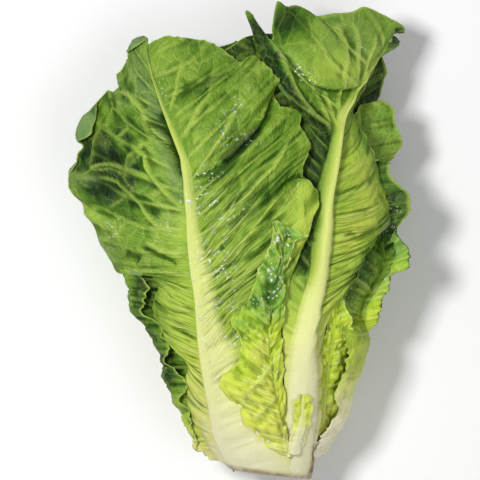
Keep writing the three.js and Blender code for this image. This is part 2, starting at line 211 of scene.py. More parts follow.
def near_line(x, y, line):
    """Signed distance to a drawn line (above 0 on its left), and a share that fades to 0 at its two ends."""
    line = np.reshape(np.asarray(line, float), (-1, 2))
    if len(line) == 1:
        return np.hypot(x - line[0, 0], y - line[0, 1]), np.ones_like(x)
    knots = np.arange(len(line))[:, None]
    fine = np.linspace(0, len(line) - 1, LINE_STEPS * (len(line) - 1) + 1)
    curve = np.stack([smooth(np.hstack([knots, line]), fine, column) for column in (1, 2)], axis=-1)
    best, side, share = np.full(x.shape, np.inf), np.ones_like(x), np.zeros_like(x)
    for k in range(len(curve) - 1):
        start, run = curve[k], curve[k + 1] - curve[k]
        t = np.clip(((x - start[0]) * run[0] + (y - start[1]) * run[1]) / (run @ run), 0, 1)
        off_x, off_y = x - start[0] - t * run[0], y - start[1] - t * run[1]
        gap = np.hypot(off_x, off_y)
        nearer = gap < best
        best = np.where(nearer, gap, best)
        side = np.where(nearer, np.sign(run[0] * off_y - run[1] * off_x), side)
        share = np.where(nearer, (k + t) / (len(curve) - 1), share)
    return best * side, ease(share, 0, LINE_FADE) * ease(share, 1, 1 - LINE_FADE)


def forms(spec, x, y):
    """The height that a leaf's own ridges and folds add, and where its narrow ridges are veins."""
    height, vein = np.zeros_like(x), np.zeros_like(x)
    for line, high, wide in spec["ridges"]:
        gap, fade = near_line(x, y, line)
        height += high * np.exp(-(gap / wide) ** 2) * fade
        if high > 0 and wide < NARROW:
            vein = np.maximum(vein, np.exp(-(gap / VEIN_CORE) ** 2) * fade)
    for line, high, far in spec["folds"]:
        gap, fade = near_line(x, y, line)
        lip = ease(gap, -0.7, 0.7) * np.exp(-np.maximum(gap, 0) / far)
        trough = ease(-gap, -0.5, 0.6) * np.exp(-np.maximum(-gap, 0) / (0.5 * far))
        height += high * fade * (lip - 0.7 * trough)
    return height, vein


def marked(spec, key, x, y):
    """How strongly one of a leaf's marks is laid on each point."""
    amount = np.zeros_like(x)
    for line, wide, much in spec["marks"].get(key, ()):
        gap, _ = near_line(x, y, line)
        amount += much * np.exp(-(gap / wide) ** 2)
    return amount


# ---- the relief of a blade

VEIN_HALF, VEIN_HIGH = 0.9, 0.8  # half width and height of a side vein
DIES_AWAY = 0.75  # share of veins and pleats that is gone at the margin
FACET, FACET_DEEP = (12, 17), 3.2  # size of a hollow field, along the leaf and out from its rib, and its depth
FACET_EDGE = 0.07  # half width of the veins between hollow fields, as a share of them


def teeth(spec, y0, sign):
    """How far the margin is cut back between its small teeth."""
    saw = np.abs(noise(y0 / 2.2, 0 * y0, spec["seed"] + 40 + sign))
    return spec["teeth"] * (saw + 0.5 * noise(y0 / 6, 0 * y0, spec["seed"] + 50 + sign))


def relief(spec, y0, s, distance, sign):
    """Veins, pleats, quilting and the ruffled margin, as a height in millimetres."""
    seed = spec["seed"] + (0 if sign < 0 else 500)
    off_rib = ease(distance, 0.2 * spec["calm"], spec["calm"])

    def hills(along, out, number, y=y0):
        return noise(y / along, distance / out, seed + number)

    # Main side veins, each a low rounded ridge, with the blade quilted between them.
    phase = (y0 + 2.5 * hills(30, 25, 1)) / spec["vein_gap"] + 0.3 * sign
    from_vein = np.abs(phase - np.round(phase)) * spec["vein_gap"]
    ridge = np.exp(-(from_vein / VEIN_HALF) ** 2) * (1 - DIES_AWAY * s)
    quilt = spec["quilt"] * (0.5 - 0.5 * np.cos(2 * np.pi * phase))

    # Pleats that run with the veins, strongest where the sheet crowds in towards the rib.
    along = y0 + 0.12 * distance
    pleat = 0.85 * hills(3, 30, 2, along) + 0.8 * hills(1.5, 20, 3, along)
    pleat += 0.5 * np.abs(hills(5, 22, 12, along)) - 0.2
    strength = by_side(spec["pleats"], y0, sign) * (1 - DIES_AWAY * s)
    pleat *= 1.15 * strength

    # Rounded bumps all over and broad swells.
    cell = spec["cell"]
    blister = hills(cell, cell, 4) + 0.5 * noise(y0 / cell * 2.1, distance / cell * 2.1, seed + 5)
    swells = spec["swell"] * hills(34, 30, 6) * ease(distance, 6, 30)

    # Hollow fields that meet on sharp veins.
    bent = 0.35 * hills(12, 12, 21)
    bowl, beside = bowls(y0 / FACET[0] + bent, distance / FACET[1] - bent, seed + 20)
    facets = by_side(spec["facets"], y0, sign) * ease(distance, 5, 16)
    facet_veins = 0.75 * np.clip(facets, 0, 1) * np.exp(-(beside / FACET_EDGE) ** 2)

    # The margin's ruffle.
    wave = spec["wave"]
    ruffle = spec["ruffle"] * s ** 3.2
    ruffle = ruffle * (1.5 * noise(y0 / wave * 1.6, s * 0.6, seed + 7) + 0.5 * noise(y0 / wave * 4, s, seed + 8))
    on_blade = VEIN_HIGH * ridge + quilt + swells + pleat + spec["blister"] * blister
    return {
        "high": on_blade * off_rib + ruffle + FACET_DEEP * facets * (bowl - 0.2),
        "vein": np.maximum(ridge * off_rib, facet_veins),
        "pleat": np.clip(strength * off_rib, 0, 1),
    }


# ---- the sheet of a leaf

RIB_STEPS = 900  # steps in which the length of a rib or a margin is measured
CROWDING = 1.12  # columns stand closer together towards the rib
MARGIN_BAND = 1.4  # width of the bright margin
FLESHY = (95, 128)  # below the middle, where the blade begins to thicken to its fleshy base, and where it ends


def rib_places(midline, sides, turn, rows):
    """Places along the rib, spaced evenly on whichever of rib and margins is longest."""
    fine = np.linspace(midline[0][0], midline[-1][0], RIB_STEPS)
    line = head_point(turn(smooth(midline, fine, 1), fine), fine, 1.0)
    steps = np.linalg.norm(np.diff(line, axis=0), axis=1)
    for veins in sides.values():
        along = smooth(veins, fine, MARGIN_Y)
        margin = head_point(turn(smooth(veins, fine, PLACE), along), along, 1.0)
        steps = np.maximum(steps, np.linalg.norm(np.diff(margin, axis=0), axis=1))
    travelled = np.concatenate([[0], np.cumsum(steps)])
    return np.interp(np.linspace(0, travelled[-1], rows), travelled, fine)


def half_leaf(spec, turn, midline, veins, rib_y, sign):
    """One half of a leaf's outer face, from its midrib out along the side veins to the margin."""
    out = np.linspace(0, 1, spec["grid"][1] // 2 + 1) ** CROWDING
    y0, s = np.meshgrid(rib_y, out, indexing="ij")
    swell, lift = smooth(veins, y0, SWELL), smooth(veins, y0, LIFT)
    flap = np.maximum(smooth(veins, y0, FLAP), 0)
    y1, a0 = smooth(veins, y0, MARGIN_Y), turn(smooth(midline, y0, 1), y0)
    a1 = turn(smooth(veins, y0, PLACE), y1)
    width = np.linalg.norm(head_point(a1, y1, 1.0) - head_point(a0, y0, 1.0), axis=-1)
    full = np.hypot(width, lift)

    # Out along the vein across the blade, and back along the flap.
    walk = s * (width + flap)
    back = np.maximum(walk - width, 0)
    share = np.where(back > 0, 1 - back / width, walk / width)
    bend = spec["bend"] * np.sin(np.pi * np.clip(share, 0, 1))
    notch = teeth(spec, y0, sign) * s ** 12 / np.maximum(width, 10)
    angle = a0 + (a1 - a0) * (share + bend * 0.6 - notch)
    y = y0 + (y1 - y0) * (share - bend * 0.5 - notch)
    distance = share * full

    # Height over the head's layer, outwards: the midrib, the fine relief, drawn forms, and the lie of the blade.
    layer = smooth(spec["layer"], y, 1)
    plan = np.moveaxis(head_point(angle, y, layer)[..., :2], -1, 0)
    rib_wide, rib_high = by_side(spec["midrib"], y0, sign), smooth(spec["midrib"], y0, 3)
    sharp = 2 - np.clip((rib_wide - 7) / 6, 0, 0.9)
    ridge = np.clip(1 - (distance / rib_wide) ** sharp, 0, 1) ** 0.8
    crinkle = relief(spec, y0, s, distance, sign)
    uneven = 1 - np.clip(marked(spec, "calm", *plan), 0, 1)
    crinkle["high"] *= uneven
    crinkle["pleat"] *= uneven
    own, own_vein = forms(spec, *plan)
    own = own * ease(-back, -0.5, 0)
    spread = np.clip(share, 0, 1)
    height = swell * 4 * spread * (1 - spread) + lift * spread ** 2
    height += 2 * spec["fold"] * ease(back, 0, 2.5 * spec["fold"])
    height -= smooth(veins, y0, FALL) * ease(share, 0.78, 1)
    height += rib_high * ridge + 0.3 * rib_high * np.exp(-(distance / (2 * rib_wide)) ** 2)
    height += crinkle["high"] + own

    tone = smooth(spec["tone"], y, 1) + spec["tone_out"] * ease(distance, 4, 50)
    rib = smooth(spec["rib_shown"], y0, 1) * np.clip(1.3 - distance / (rib_wide * 1.05), 0, 1)
    # Painted shade: the midrib is made greener towards its edges, where its round sides turn from the light.
    edge = by_side(spec["rib_edge"], y0, sign) * ease(distance, 0, 0.9 * rib_wide)
    base = ease(-y, *FLESHY)
    return {
        "point": head_point(angle, y, layer + height / reach(angle, y)),
        "height": crinkle["high"] + own,
        "tone": tone + edge + (1 - rib) * marked(spec, "tone", *plan),
        **{key: np.clip(marked(spec, key, *plan), 0, 1) for key in ("haze", "wet", "brown")},
        "rib": rib,
        "margin": ease(s * (full + flap), full + flap - MARGIN_BAND, full + flap),
        "vein": np.maximum(crinkle["vein"], own_vein),
        "pleat": crinkle["pleat"],
        "map": np.stack([y0, sign * distance], axis=-1),
        "body": np.clip((spec["blade"] + ridge * rib_high * 0.8) / spec["thick"] + base * (1 - 0.6 * s), 0.02, 1),
    }


def leaf_face(spec):
    """Places a leaf's outer face from its midrib and from the veins that run from the midrib to the margins.

    spec["left"] and spec["right"] have a row for each vein: y on the midrib, then the margin's place (x over the
    upper side, or an angle), the margin's y, how far the blade swells halfway out, how far the margin lifts,
    the width of a flap turned back over the blade, and how far the blade falls past a fold near the margin.
    """
    def turn(place, y):
        return angle_over(place, y, smooth(spec["layer"], y, 1)) if spec["over"] else place + 0 * y

    midline = np.array(spec["rib"], float)
    sides = {side: pad_rows(spec[side]) for side, _ in SIDES}
    rib_y = rib_places(midline, sides, turn, spec["grid"][0])
    left, right = (half_leaf(spec, turn, midline, sides[side], rib_y, sign) for side, sign in SIDES)
    return {key: np.concatenate([left[key][:, ::-1], right[key][:, 1:]], axis=1) for key in left}


# ---- a finished leaf

SHOWN = ("tone", "haze", "wet", "brown", "rib", "margin", "vein", "pleat", "hollow")  # what its materials read
CUT_ROWS = 4.0  # rows over which the base is drawn to the knife cut
BROWN_RIM = (3.4, 1.0)  # above the cut, where its browned rim begins and is full
LOWEST = 0.02  # lowest that a leaf may lie
MAP_SCALE = 0.01  # millimetres to units of the vein map


def add_hollows(face):
    """Notes how far each point lies below its surroundings: 0.5 is level, 1 is deep. The materials paint shade into
    the hollows and light onto the heights from it.
    """
    height = face["height"]
    low_near, low_far = (blurred(blurred(height, cells), cells) - height for cells in (2, 6))
    face["hollow"] = 0.5 + 0.5 * np.tanh(1.3 * low_near + 0.5 * low_far)


def cut_base(face):
    """Draws a leaf's base to the knife cut and browns its rim."""
    points = face["point"]
    reaches = np.exp(-np.arange(len(points)) / CUT_ROWS)[:, None]
    points[..., 1] += (CUT_Y - CUT_SLANT * points[..., 0] - points[..., 1]) * reaches
    above_cut = points[..., 1] - CUT_Y + CUT_SLANT * points[..., 0]
    face["brown"] = np.maximum(face["brown"], 0.8 * ease(above_cut, *BROWN_RIM))


def leaf(name, finish, **settings):
    """Builds one leaf as a closed sheet: an outer face, an inner face and a thin margin between them."""
    slot, *materials = finish
    spec = {**PLAIN, **settings}
    face = leaf_face(spec)
    add_hollows(face)
    face["tone"] = np.clip(face["tone"], 0, 1.1)
    if spec["cut"]:
        cut_base(face)
    points = face["point"]
    points[..., 2] = np.maximum(points[..., 2], LOWEST)
    rows, columns = points.shape[:2]

    bpy.ops.object.select_all(action="DESELECT")
    bpy.ops.mesh.primitive_grid_add(x_subdivisions=columns - 1, y_subdivisions=rows - 1, size=1)
    sheet = bpy.context.object
    sheet.name = sheet.data.name = name
    mesh = sheet.data
    mesh.vertices.foreach_set("co", to_world(points).reshape(-1).astype(np.float32))
    for key in SHOWN:
        values = mesh.attributes.new(key, "FLOAT", "POINT")
        values.data.foreach_set("value", face[key].reshape(-1).astype(np.float32))
    loops = np.empty(len(mesh.loops), np.int32)
    mesh.loops.foreach_get("vertex_index", loops)
    vein_map = mesh.uv_layers[0]
    vein_map.name = "Veins"
    places = face["map"].reshape(-1, 2)[loops] * MAP_SCALE
    vein_map.data.foreach_set("uv", places.reshape(-1).astype(np.float32))
    group = sheet.vertex_groups.new(name="body")
    body = np.round(face["body"].reshape(-1), 2)
    for level in np.unique(body):
        group.add(np.nonzero(body == level)[0].tolist(), float(level), "REPLACE")
    mesh.update()

    for material in materials:
        mesh.materials.append(material)
    thicken = sheet.modifiers.new("thickness", "SOLIDIFY")
    thicken.thickness = spec["thick"] * MM
    thicken.offset = -1
    thicken.vertex_group = "body"
    thicken.material_offset = 1
    bpy.ops.object.modifier_apply(modifier="thickness")
    bpy.ops.object.shade_smooth()
    sheet.vertex_groups.clear()
    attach(sheet, "root")
    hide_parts(name)


# ---- materials

def colour(*screen):
    """A screen colour, 0 to 255, as the linear colour a material takes."""
    shares = (value / 255 for value in screen)
    return (*[(v / 12.92 if v <= 0.04045 else ((v + 0.055) / 1.055) ** 2.4) for v in shares], 1)


def shades(*stops):
    """Colours along a ramp, each given as its place and its screen colour."""
    return [(place, colour(*screen)) for place, *screen in stops]


class Nodes:
    """Short ways to add and join the nodes of one material."""

    def __init__(self, name):
        self.material = bpy.data.materials.new(name)
        self.material.use_nodes = True
        self.tree = self.material.node_tree
        self.skin = self.tree.nodes["Principled BSDF"]

    def add(self, kind, inputs=None, **settings):
        made = self.tree.nodes.new(kind)
        for key, value in settings.items():
            setattr(made, key, value)
        for key, value in (inputs or {}).items():
            self.put(value, made.inputs[key])
        return made

    def put(self, value, socket):
        if isinstance(value, bpy.types.NodeSocket):
            self.tree.links.new(value, socket)
        else:
            socket.default_value = value

    def attribute(self, name):
        return self.add("ShaderNodeAttribute", attribute_name=name).outputs["Fac"]

    def math(self, operation, first, second=0.0, third=0.0, clamp=False):
        made = self.add("ShaderNodeMath", {0: first, 1: second, 2: third}, operation=operation, use_clamp=clamp)
        return made.outputs[0]

    def times(self, *values):
        return self.math("MULTIPLY", *values)

    def plus(self, *values, clamp=False):
        return self.math("ADD", *values, clamp=clamp)

    def minus(self, *values, clamp=False):
        return self.math("SUBTRACT", *values, clamp=clamp)

    def scaled(self, value, by, start):
        return self.math("MULTIPLY_ADD", value, by, start)

    def line_at(self, value, level, half_width):
        """1 where a value crosses a level, 0 beyond a half width to either side of it."""
        return self.step(self.math("ABSOLUTE", self.minus(value, level)), 0.0, half_width, 1, 0)

    def step(self, value, low_end, high_end, low_out=0.0, high_out=1.0):
        made = self.add("ShaderNodeMapRange", {0: value, 1: low_end, 2: high_end, 3: low_out, 4: high_out})
        made.interpolation_type = "SMOOTHSTEP"
        return made.outputs[0]

    def mix(self, share, first, second, blend="MIX"):
        made = self.add("ShaderNodeMix", {0: share, 6: first, 7: second}, data_type="RGBA", blend_type=blend)
        return made.outputs[2]

    def ramp(self, value, stops):
        made = self.add("ShaderNodeValToRGB", {0: value})
        bar = made.color_ramp
        while len(bar.elements) < len(stops):
            bar.elements.new(0.5)
        for element, (place, shade) in zip(bar.elements, stops):
            element.position = place
            element.color = shade
        return made.outputs[0]

    def hills(self, scale, detail=2.0, roughness=0.5):
        where = self.add("ShaderNodeTexCoord").outputs["Object"]
        settings = {"Vector": where, "Scale": scale, "Detail": detail, "Roughness": roughness}
        return self.add("ShaderNodeTexNoise", settings).outputs["Fac"]

    def noise(self, where, scale, detail):
        return self.add("ShaderNodeTexNoise", {"Vector": where, "Scale": scale, "Detail": detail})

    def cells(self, where, scale, feature):
        return self.add("ShaderNodeTexVoronoi", {"Vector": where, "Scale": scale}, feature=feature)

    def pushed(self, where, scale, detail, much):
        """Places moved a little to and fro, so that what is drawn on them isn't straight."""
        push = self.noise(where, scale, detail).outputs["Color"]
        push = self.add("ShaderNodeVectorMath", {0: push, "Scale": much}, operation="SCALE").outputs[0]
        return self.add("ShaderNodeVectorMath", {0: where, 1: push}, operation="ADD").outputs[0]

    def streaks(self, where, stretch, scale=1):
        """Noise squeezed along the leaf and across it by two numbers."""
        squeezed = self.add("ShaderNodeMapping", {"Vector": where, "Scale": (*stretch, 1.0)}).outputs[0]
        return self.noise(squeezed, scale, 2).outputs["Fac"]


BLADE = shades((0, 220, 214, 168), (0.1, 206, 208, 116), (0.25, 184, 200, 78), (0.45, 153, 182, 62),
               (0.62, 122, 155, 52), (0.78, 92, 130, 30), (0.9, 60, 98, 20), (1, 28, 56, 10))
RIB = shades((0, 226, 222, 186), (0.15, 222, 224, 156), (0.36, 217, 223, 140), (0.52, 206, 215, 120),
             (0.68, 178, 198, 84), (1, 100, 136, 34))
INNER_BLADE = shades((0, 222, 216, 182), (0.12, 200, 204, 140), (0.3, 160, 180, 96), (0.6, 116, 146, 82),
                     (1, 92, 124, 62))
SHOOT = shades((0, 228, 222, 172), (0.2, 214, 218, 92), (0.5, 184, 208, 48), (0.75, 130, 176, 52),
               (1, 56, 118, 46))
PALE = shades((0, 238, 228, 206), (0.2, 224, 220, 164), (0.45, 184, 198, 74), (0.7, 150, 176, 50),
              (1, 108, 146, 40))
VEIN_GREEN = colour(166, 190, 84)
BLOOM_AND_SHEEN_GREY = colour(98, 128, 72)
HOLLOW_SHADE = colour(116, 146, 58)
CREASE_SHADE = colour(110, 136, 62)
DRY_BROWN = colour(136, 108, 72)
DROP_GLINT_WHITE = colour(246, 248, 240)

# How the vein map is squeezed, along and across the leaf.
LANES = (36.0, 2.6)  # creases between the lanes of a blade
STRANDS = (95.0, 4.0)  # fine strands beside them
FIBRES = (2.0, 60.0)  # fibres of the midrib
SHINE = 0.16  # specular level of a waxy leaf


def vein_net(m, leaf_map, scale):
    """A net of veins inside the main ones: its lines, a value for each field, and how the fields puff up."""
    warped = m.pushed(leaf_map, 9, 2, 0.08)
    coarse = m.cells(warped, scale, "DISTANCE_TO_EDGE").outputs["Distance"]
    fine = m.cells(warped, scale * 3.3, "DISTANCE_TO_EDGE").outputs["Distance"]
    field = m.add("ShaderNodeSeparateColor", {0: m.cells(warped, scale, "F1").outputs["Color"]}).outputs[0]
    lines = m.math("MAXIMUM", m.step(coarse, 0.0, 0.05, 1, 0), m.step(fine, 0.0, 0.1, 0.35, 0))
    return lines, field, m.scaled(m.step(coarse, 0.0, 0.35), 1.0, m.times(m.step(fine, 0.0, 0.3), 0.35))


def leaf_material(name, blade=BLADE, painted_glints=1.0, net=0.45, vein_tint=VEIN_GREEN, patch=0.1, net_scale=11,
                  hollow_shading=0.95, crease_shading=0.6, bump=0.0013):
    """A leaf's face: a colour that runs from the pale base to the green blade, with veins and wet places, painted
    shade in its hollows and creases, painted light on its heights and painted glints where wet.
    """
    m = Nodes(name)
    tone, haze, wet, brown, ribs, margin, veins, pleats, hollow = (m.attribute(key) for key in SHOWN)
    leaf_map = m.add("ShaderNodeUVMap", uv_map="Veins").outputs[0]
    net_line, field, puff = vein_net(m, leaf_map, net_scale)
    green = m.step(tone, 0.3, 0.7)

    # The blade: broad patches, fields of the net a little darker or lighter, and fine speckle.
    patches = m.scaled(m.hills(30, 3), patch * 2, -patch)
    patches = m.plus(patches, m.times(m.scaled(field, 0.16, -0.08), green))
    speckle = m.scaled(m.hills(220, 3), 0.24, -0.12)
    shade = m.plus(m.plus(tone, patches), speckle, clamp=True)
    # The grey of the waxy bloom, which in places is a painted sheen.
    skin = m.mix(m.times(haze, 0.85), m.ramp(shade, blade), BLOOM_AND_SHEEN_GREY)

    # Veins, then painted shade darkening the hollows and painted light on the heights between them.
    net_part = m.times(m.step(m.hills(16, 2), 0.35, 0.6, 0.3, 1), green)
    net_part = m.times(net_part, m.step(tone, 0.68, 0.92, 1, 0.4))
    skin = m.mix(m.times(net_line, m.times(net_part, net)), skin, vein_tint)
    skin = m.mix(m.times(veins, 0.65), skin, m.mix(0.5, vein_tint, m.ramp(tone, RIB)))
    # Painted shade: the deeper a hollow, the more its colour is multiplied darker.
    painted_shade = m.times(m.step(hollow, 0.5, 1.0), hollow_shading)
    skin = m.mix(painted_shade, skin, m.mix(1.0, skin, HOLLOW_SHADE, "MULTIPLY"))
    # Painted light: heights above their surroundings are lightened towards the vein colour.
    light = m.times(m.step(hollow, 0.52, 0.1), 0.22)
    skin = m.mix(light, skin, m.mix(0.6, skin, vein_tint))

    # Thin creases between the lanes of the blade, running with its side veins, darkened with painted shade.
    slow = m.pushed(leaf_map, 4, 1, 0.06)
    lane, strand = m.streaks(slow, LANES), m.streaks(slow, STRANDS)
    crease = m.times(m.line_at(lane, 0.5, 0.045), pleats)
    skin = m.mix(m.times(crease, crease_shading), skin, m.mix(1.0, skin, CREASE_SHADE, "MULTIPLY"))

    # The midrib, with faint fibres along it, the thin bright margin and the browned cut.
    fibre = m.streaks(leaf_map, FIBRES, 6)
    rib_tone = m.plus(tone, m.scaled(fibre, 0.16, -0.08), clamp=True)
    skin = m.mix(m.step(ribs, 0.12, 0.62), skin, m.ramp(rib_tone, RIB))
    skin = m.mix(m.times(margin, m.step(tone, 0.08, 0.3, 0, 0.7)), skin, vein_tint)
    skin = m.mix(m.times(brown, m.step(m.hills(240, 3), 0.25, 0.6, 0.5, 1)), skin, DRY_BROWN)

    # Wet places with painted glints of small drops, and painted glints along the pleats: the base colour is painted
    # white there.
    wet_area = m.times(m.step(m.hills(60, 3), 0.4, 0.6), wet)
    drop_glint = m.times(m.step(m.hills(520, 2), 0.6, 0.66), wet_area)
    # Painted highlights: thin dashes beside the creases, where the pleats catch the light.
    glint = m.times(m.line_at(lane, 0.57, 0.016), m.times(m.step(m.hills(170, 2), 0.5, 0.6), pleats))
    drop_glint = m.math("MAXIMUM", drop_glint, m.times(glint, m.times(wet, 0.9)))
    skin = m.mix(m.times(drop_glint, painted_glints), skin, DROP_GLINT_WHITE)
    m.put(skin, m.skin.inputs["Base Color"])
    roughness = m.scaled(m.hills(90, 3), 0.24, 0.3)
    roughness = m.minus(roughness, m.times(wet_area, 0.14), clamp=True)
    roughness = m.plus(roughness, m.times(painted_shade, 0.25), clamp=True)
    roughness = m.minus(roughness, m.times(m.step(ribs, 0.3, 0.9), 0.14), clamp=True)
    m.put(m.times(roughness, m.minus(1.0, m.times(drop_glint, 0.8))), m.skin.inputs["Roughness"])
    m.put(SHINE, m.skin.inputs["Specular IOR Level"])

    # Fine relief: pores and the net on the blade, fibres on the midrib, then drops, creases and strands.
    off_rib = m.step(ribs, 0.5, 0.1)
    rise = m.plus(m.times(m.hills(700, 2, 0.6), 0.3), m.times(puff, green))
    rise = m.plus(rise, m.times(m.hills(190, 3, 0.6), 1.1))
    rise = m.times(rise, m.times(off_rib, m.step(tone, 0.02, 0.3)))
    rise = m.plus(rise, m.times(m.minus(1.0, off_rib), m.times(fibre, 0.5)))
    rise = m.plus(rise, m.times(drop_glint, 1.5))
    rise = m.minus(rise, m.times(crease, 0.9))
    rise = m.plus(rise, m.times(m.times(strand, pleats), 1.6))
    bumps = m.add("ShaderNodeBump", {"Strength": 0.6, "Distance": bump, "Height": rise})
    m.put(bumps.outputs[0], m.skin.inputs["Normal"])
    return m.material


outer_face = leaf_material("leaf_outer_face")
inner_face = leaf_material("leaf_inner_face", blade=INNER_BLADE, painted_glints=0.4, net=0.1, vein_tint=colour(140, 168, 100))
shoot_face = leaf_material("shoot_leaf_face", blade=SHOOT, net=0.5, vein_tint=colour(212, 222, 120), net_scale=14,
                           hollow_shading=0.5, crease_shading=0.2, bump=0.0011)
pale_face = leaf_material("pale_leaf_face", blade=PALE, painted_glints=0.3, net=0.08, patch=0.05, hollow_shading=0.3)

# The slot of a leaf, then the materials of its outer and inner face.
GREEN = ("green_leaf", outer_face, inner_face)
GREEN_BOTH = ("green_leaf", outer_face, outer_face)
GREEN_CURLED = ("green_leaf", outer_face, shoot_face)
BRIGHT = ("shoot_leaf", shoot_face, inner_face)
SMOOTH = ("pale_leaf", pale_face, inner_face)


# ---- the leaves that show from above

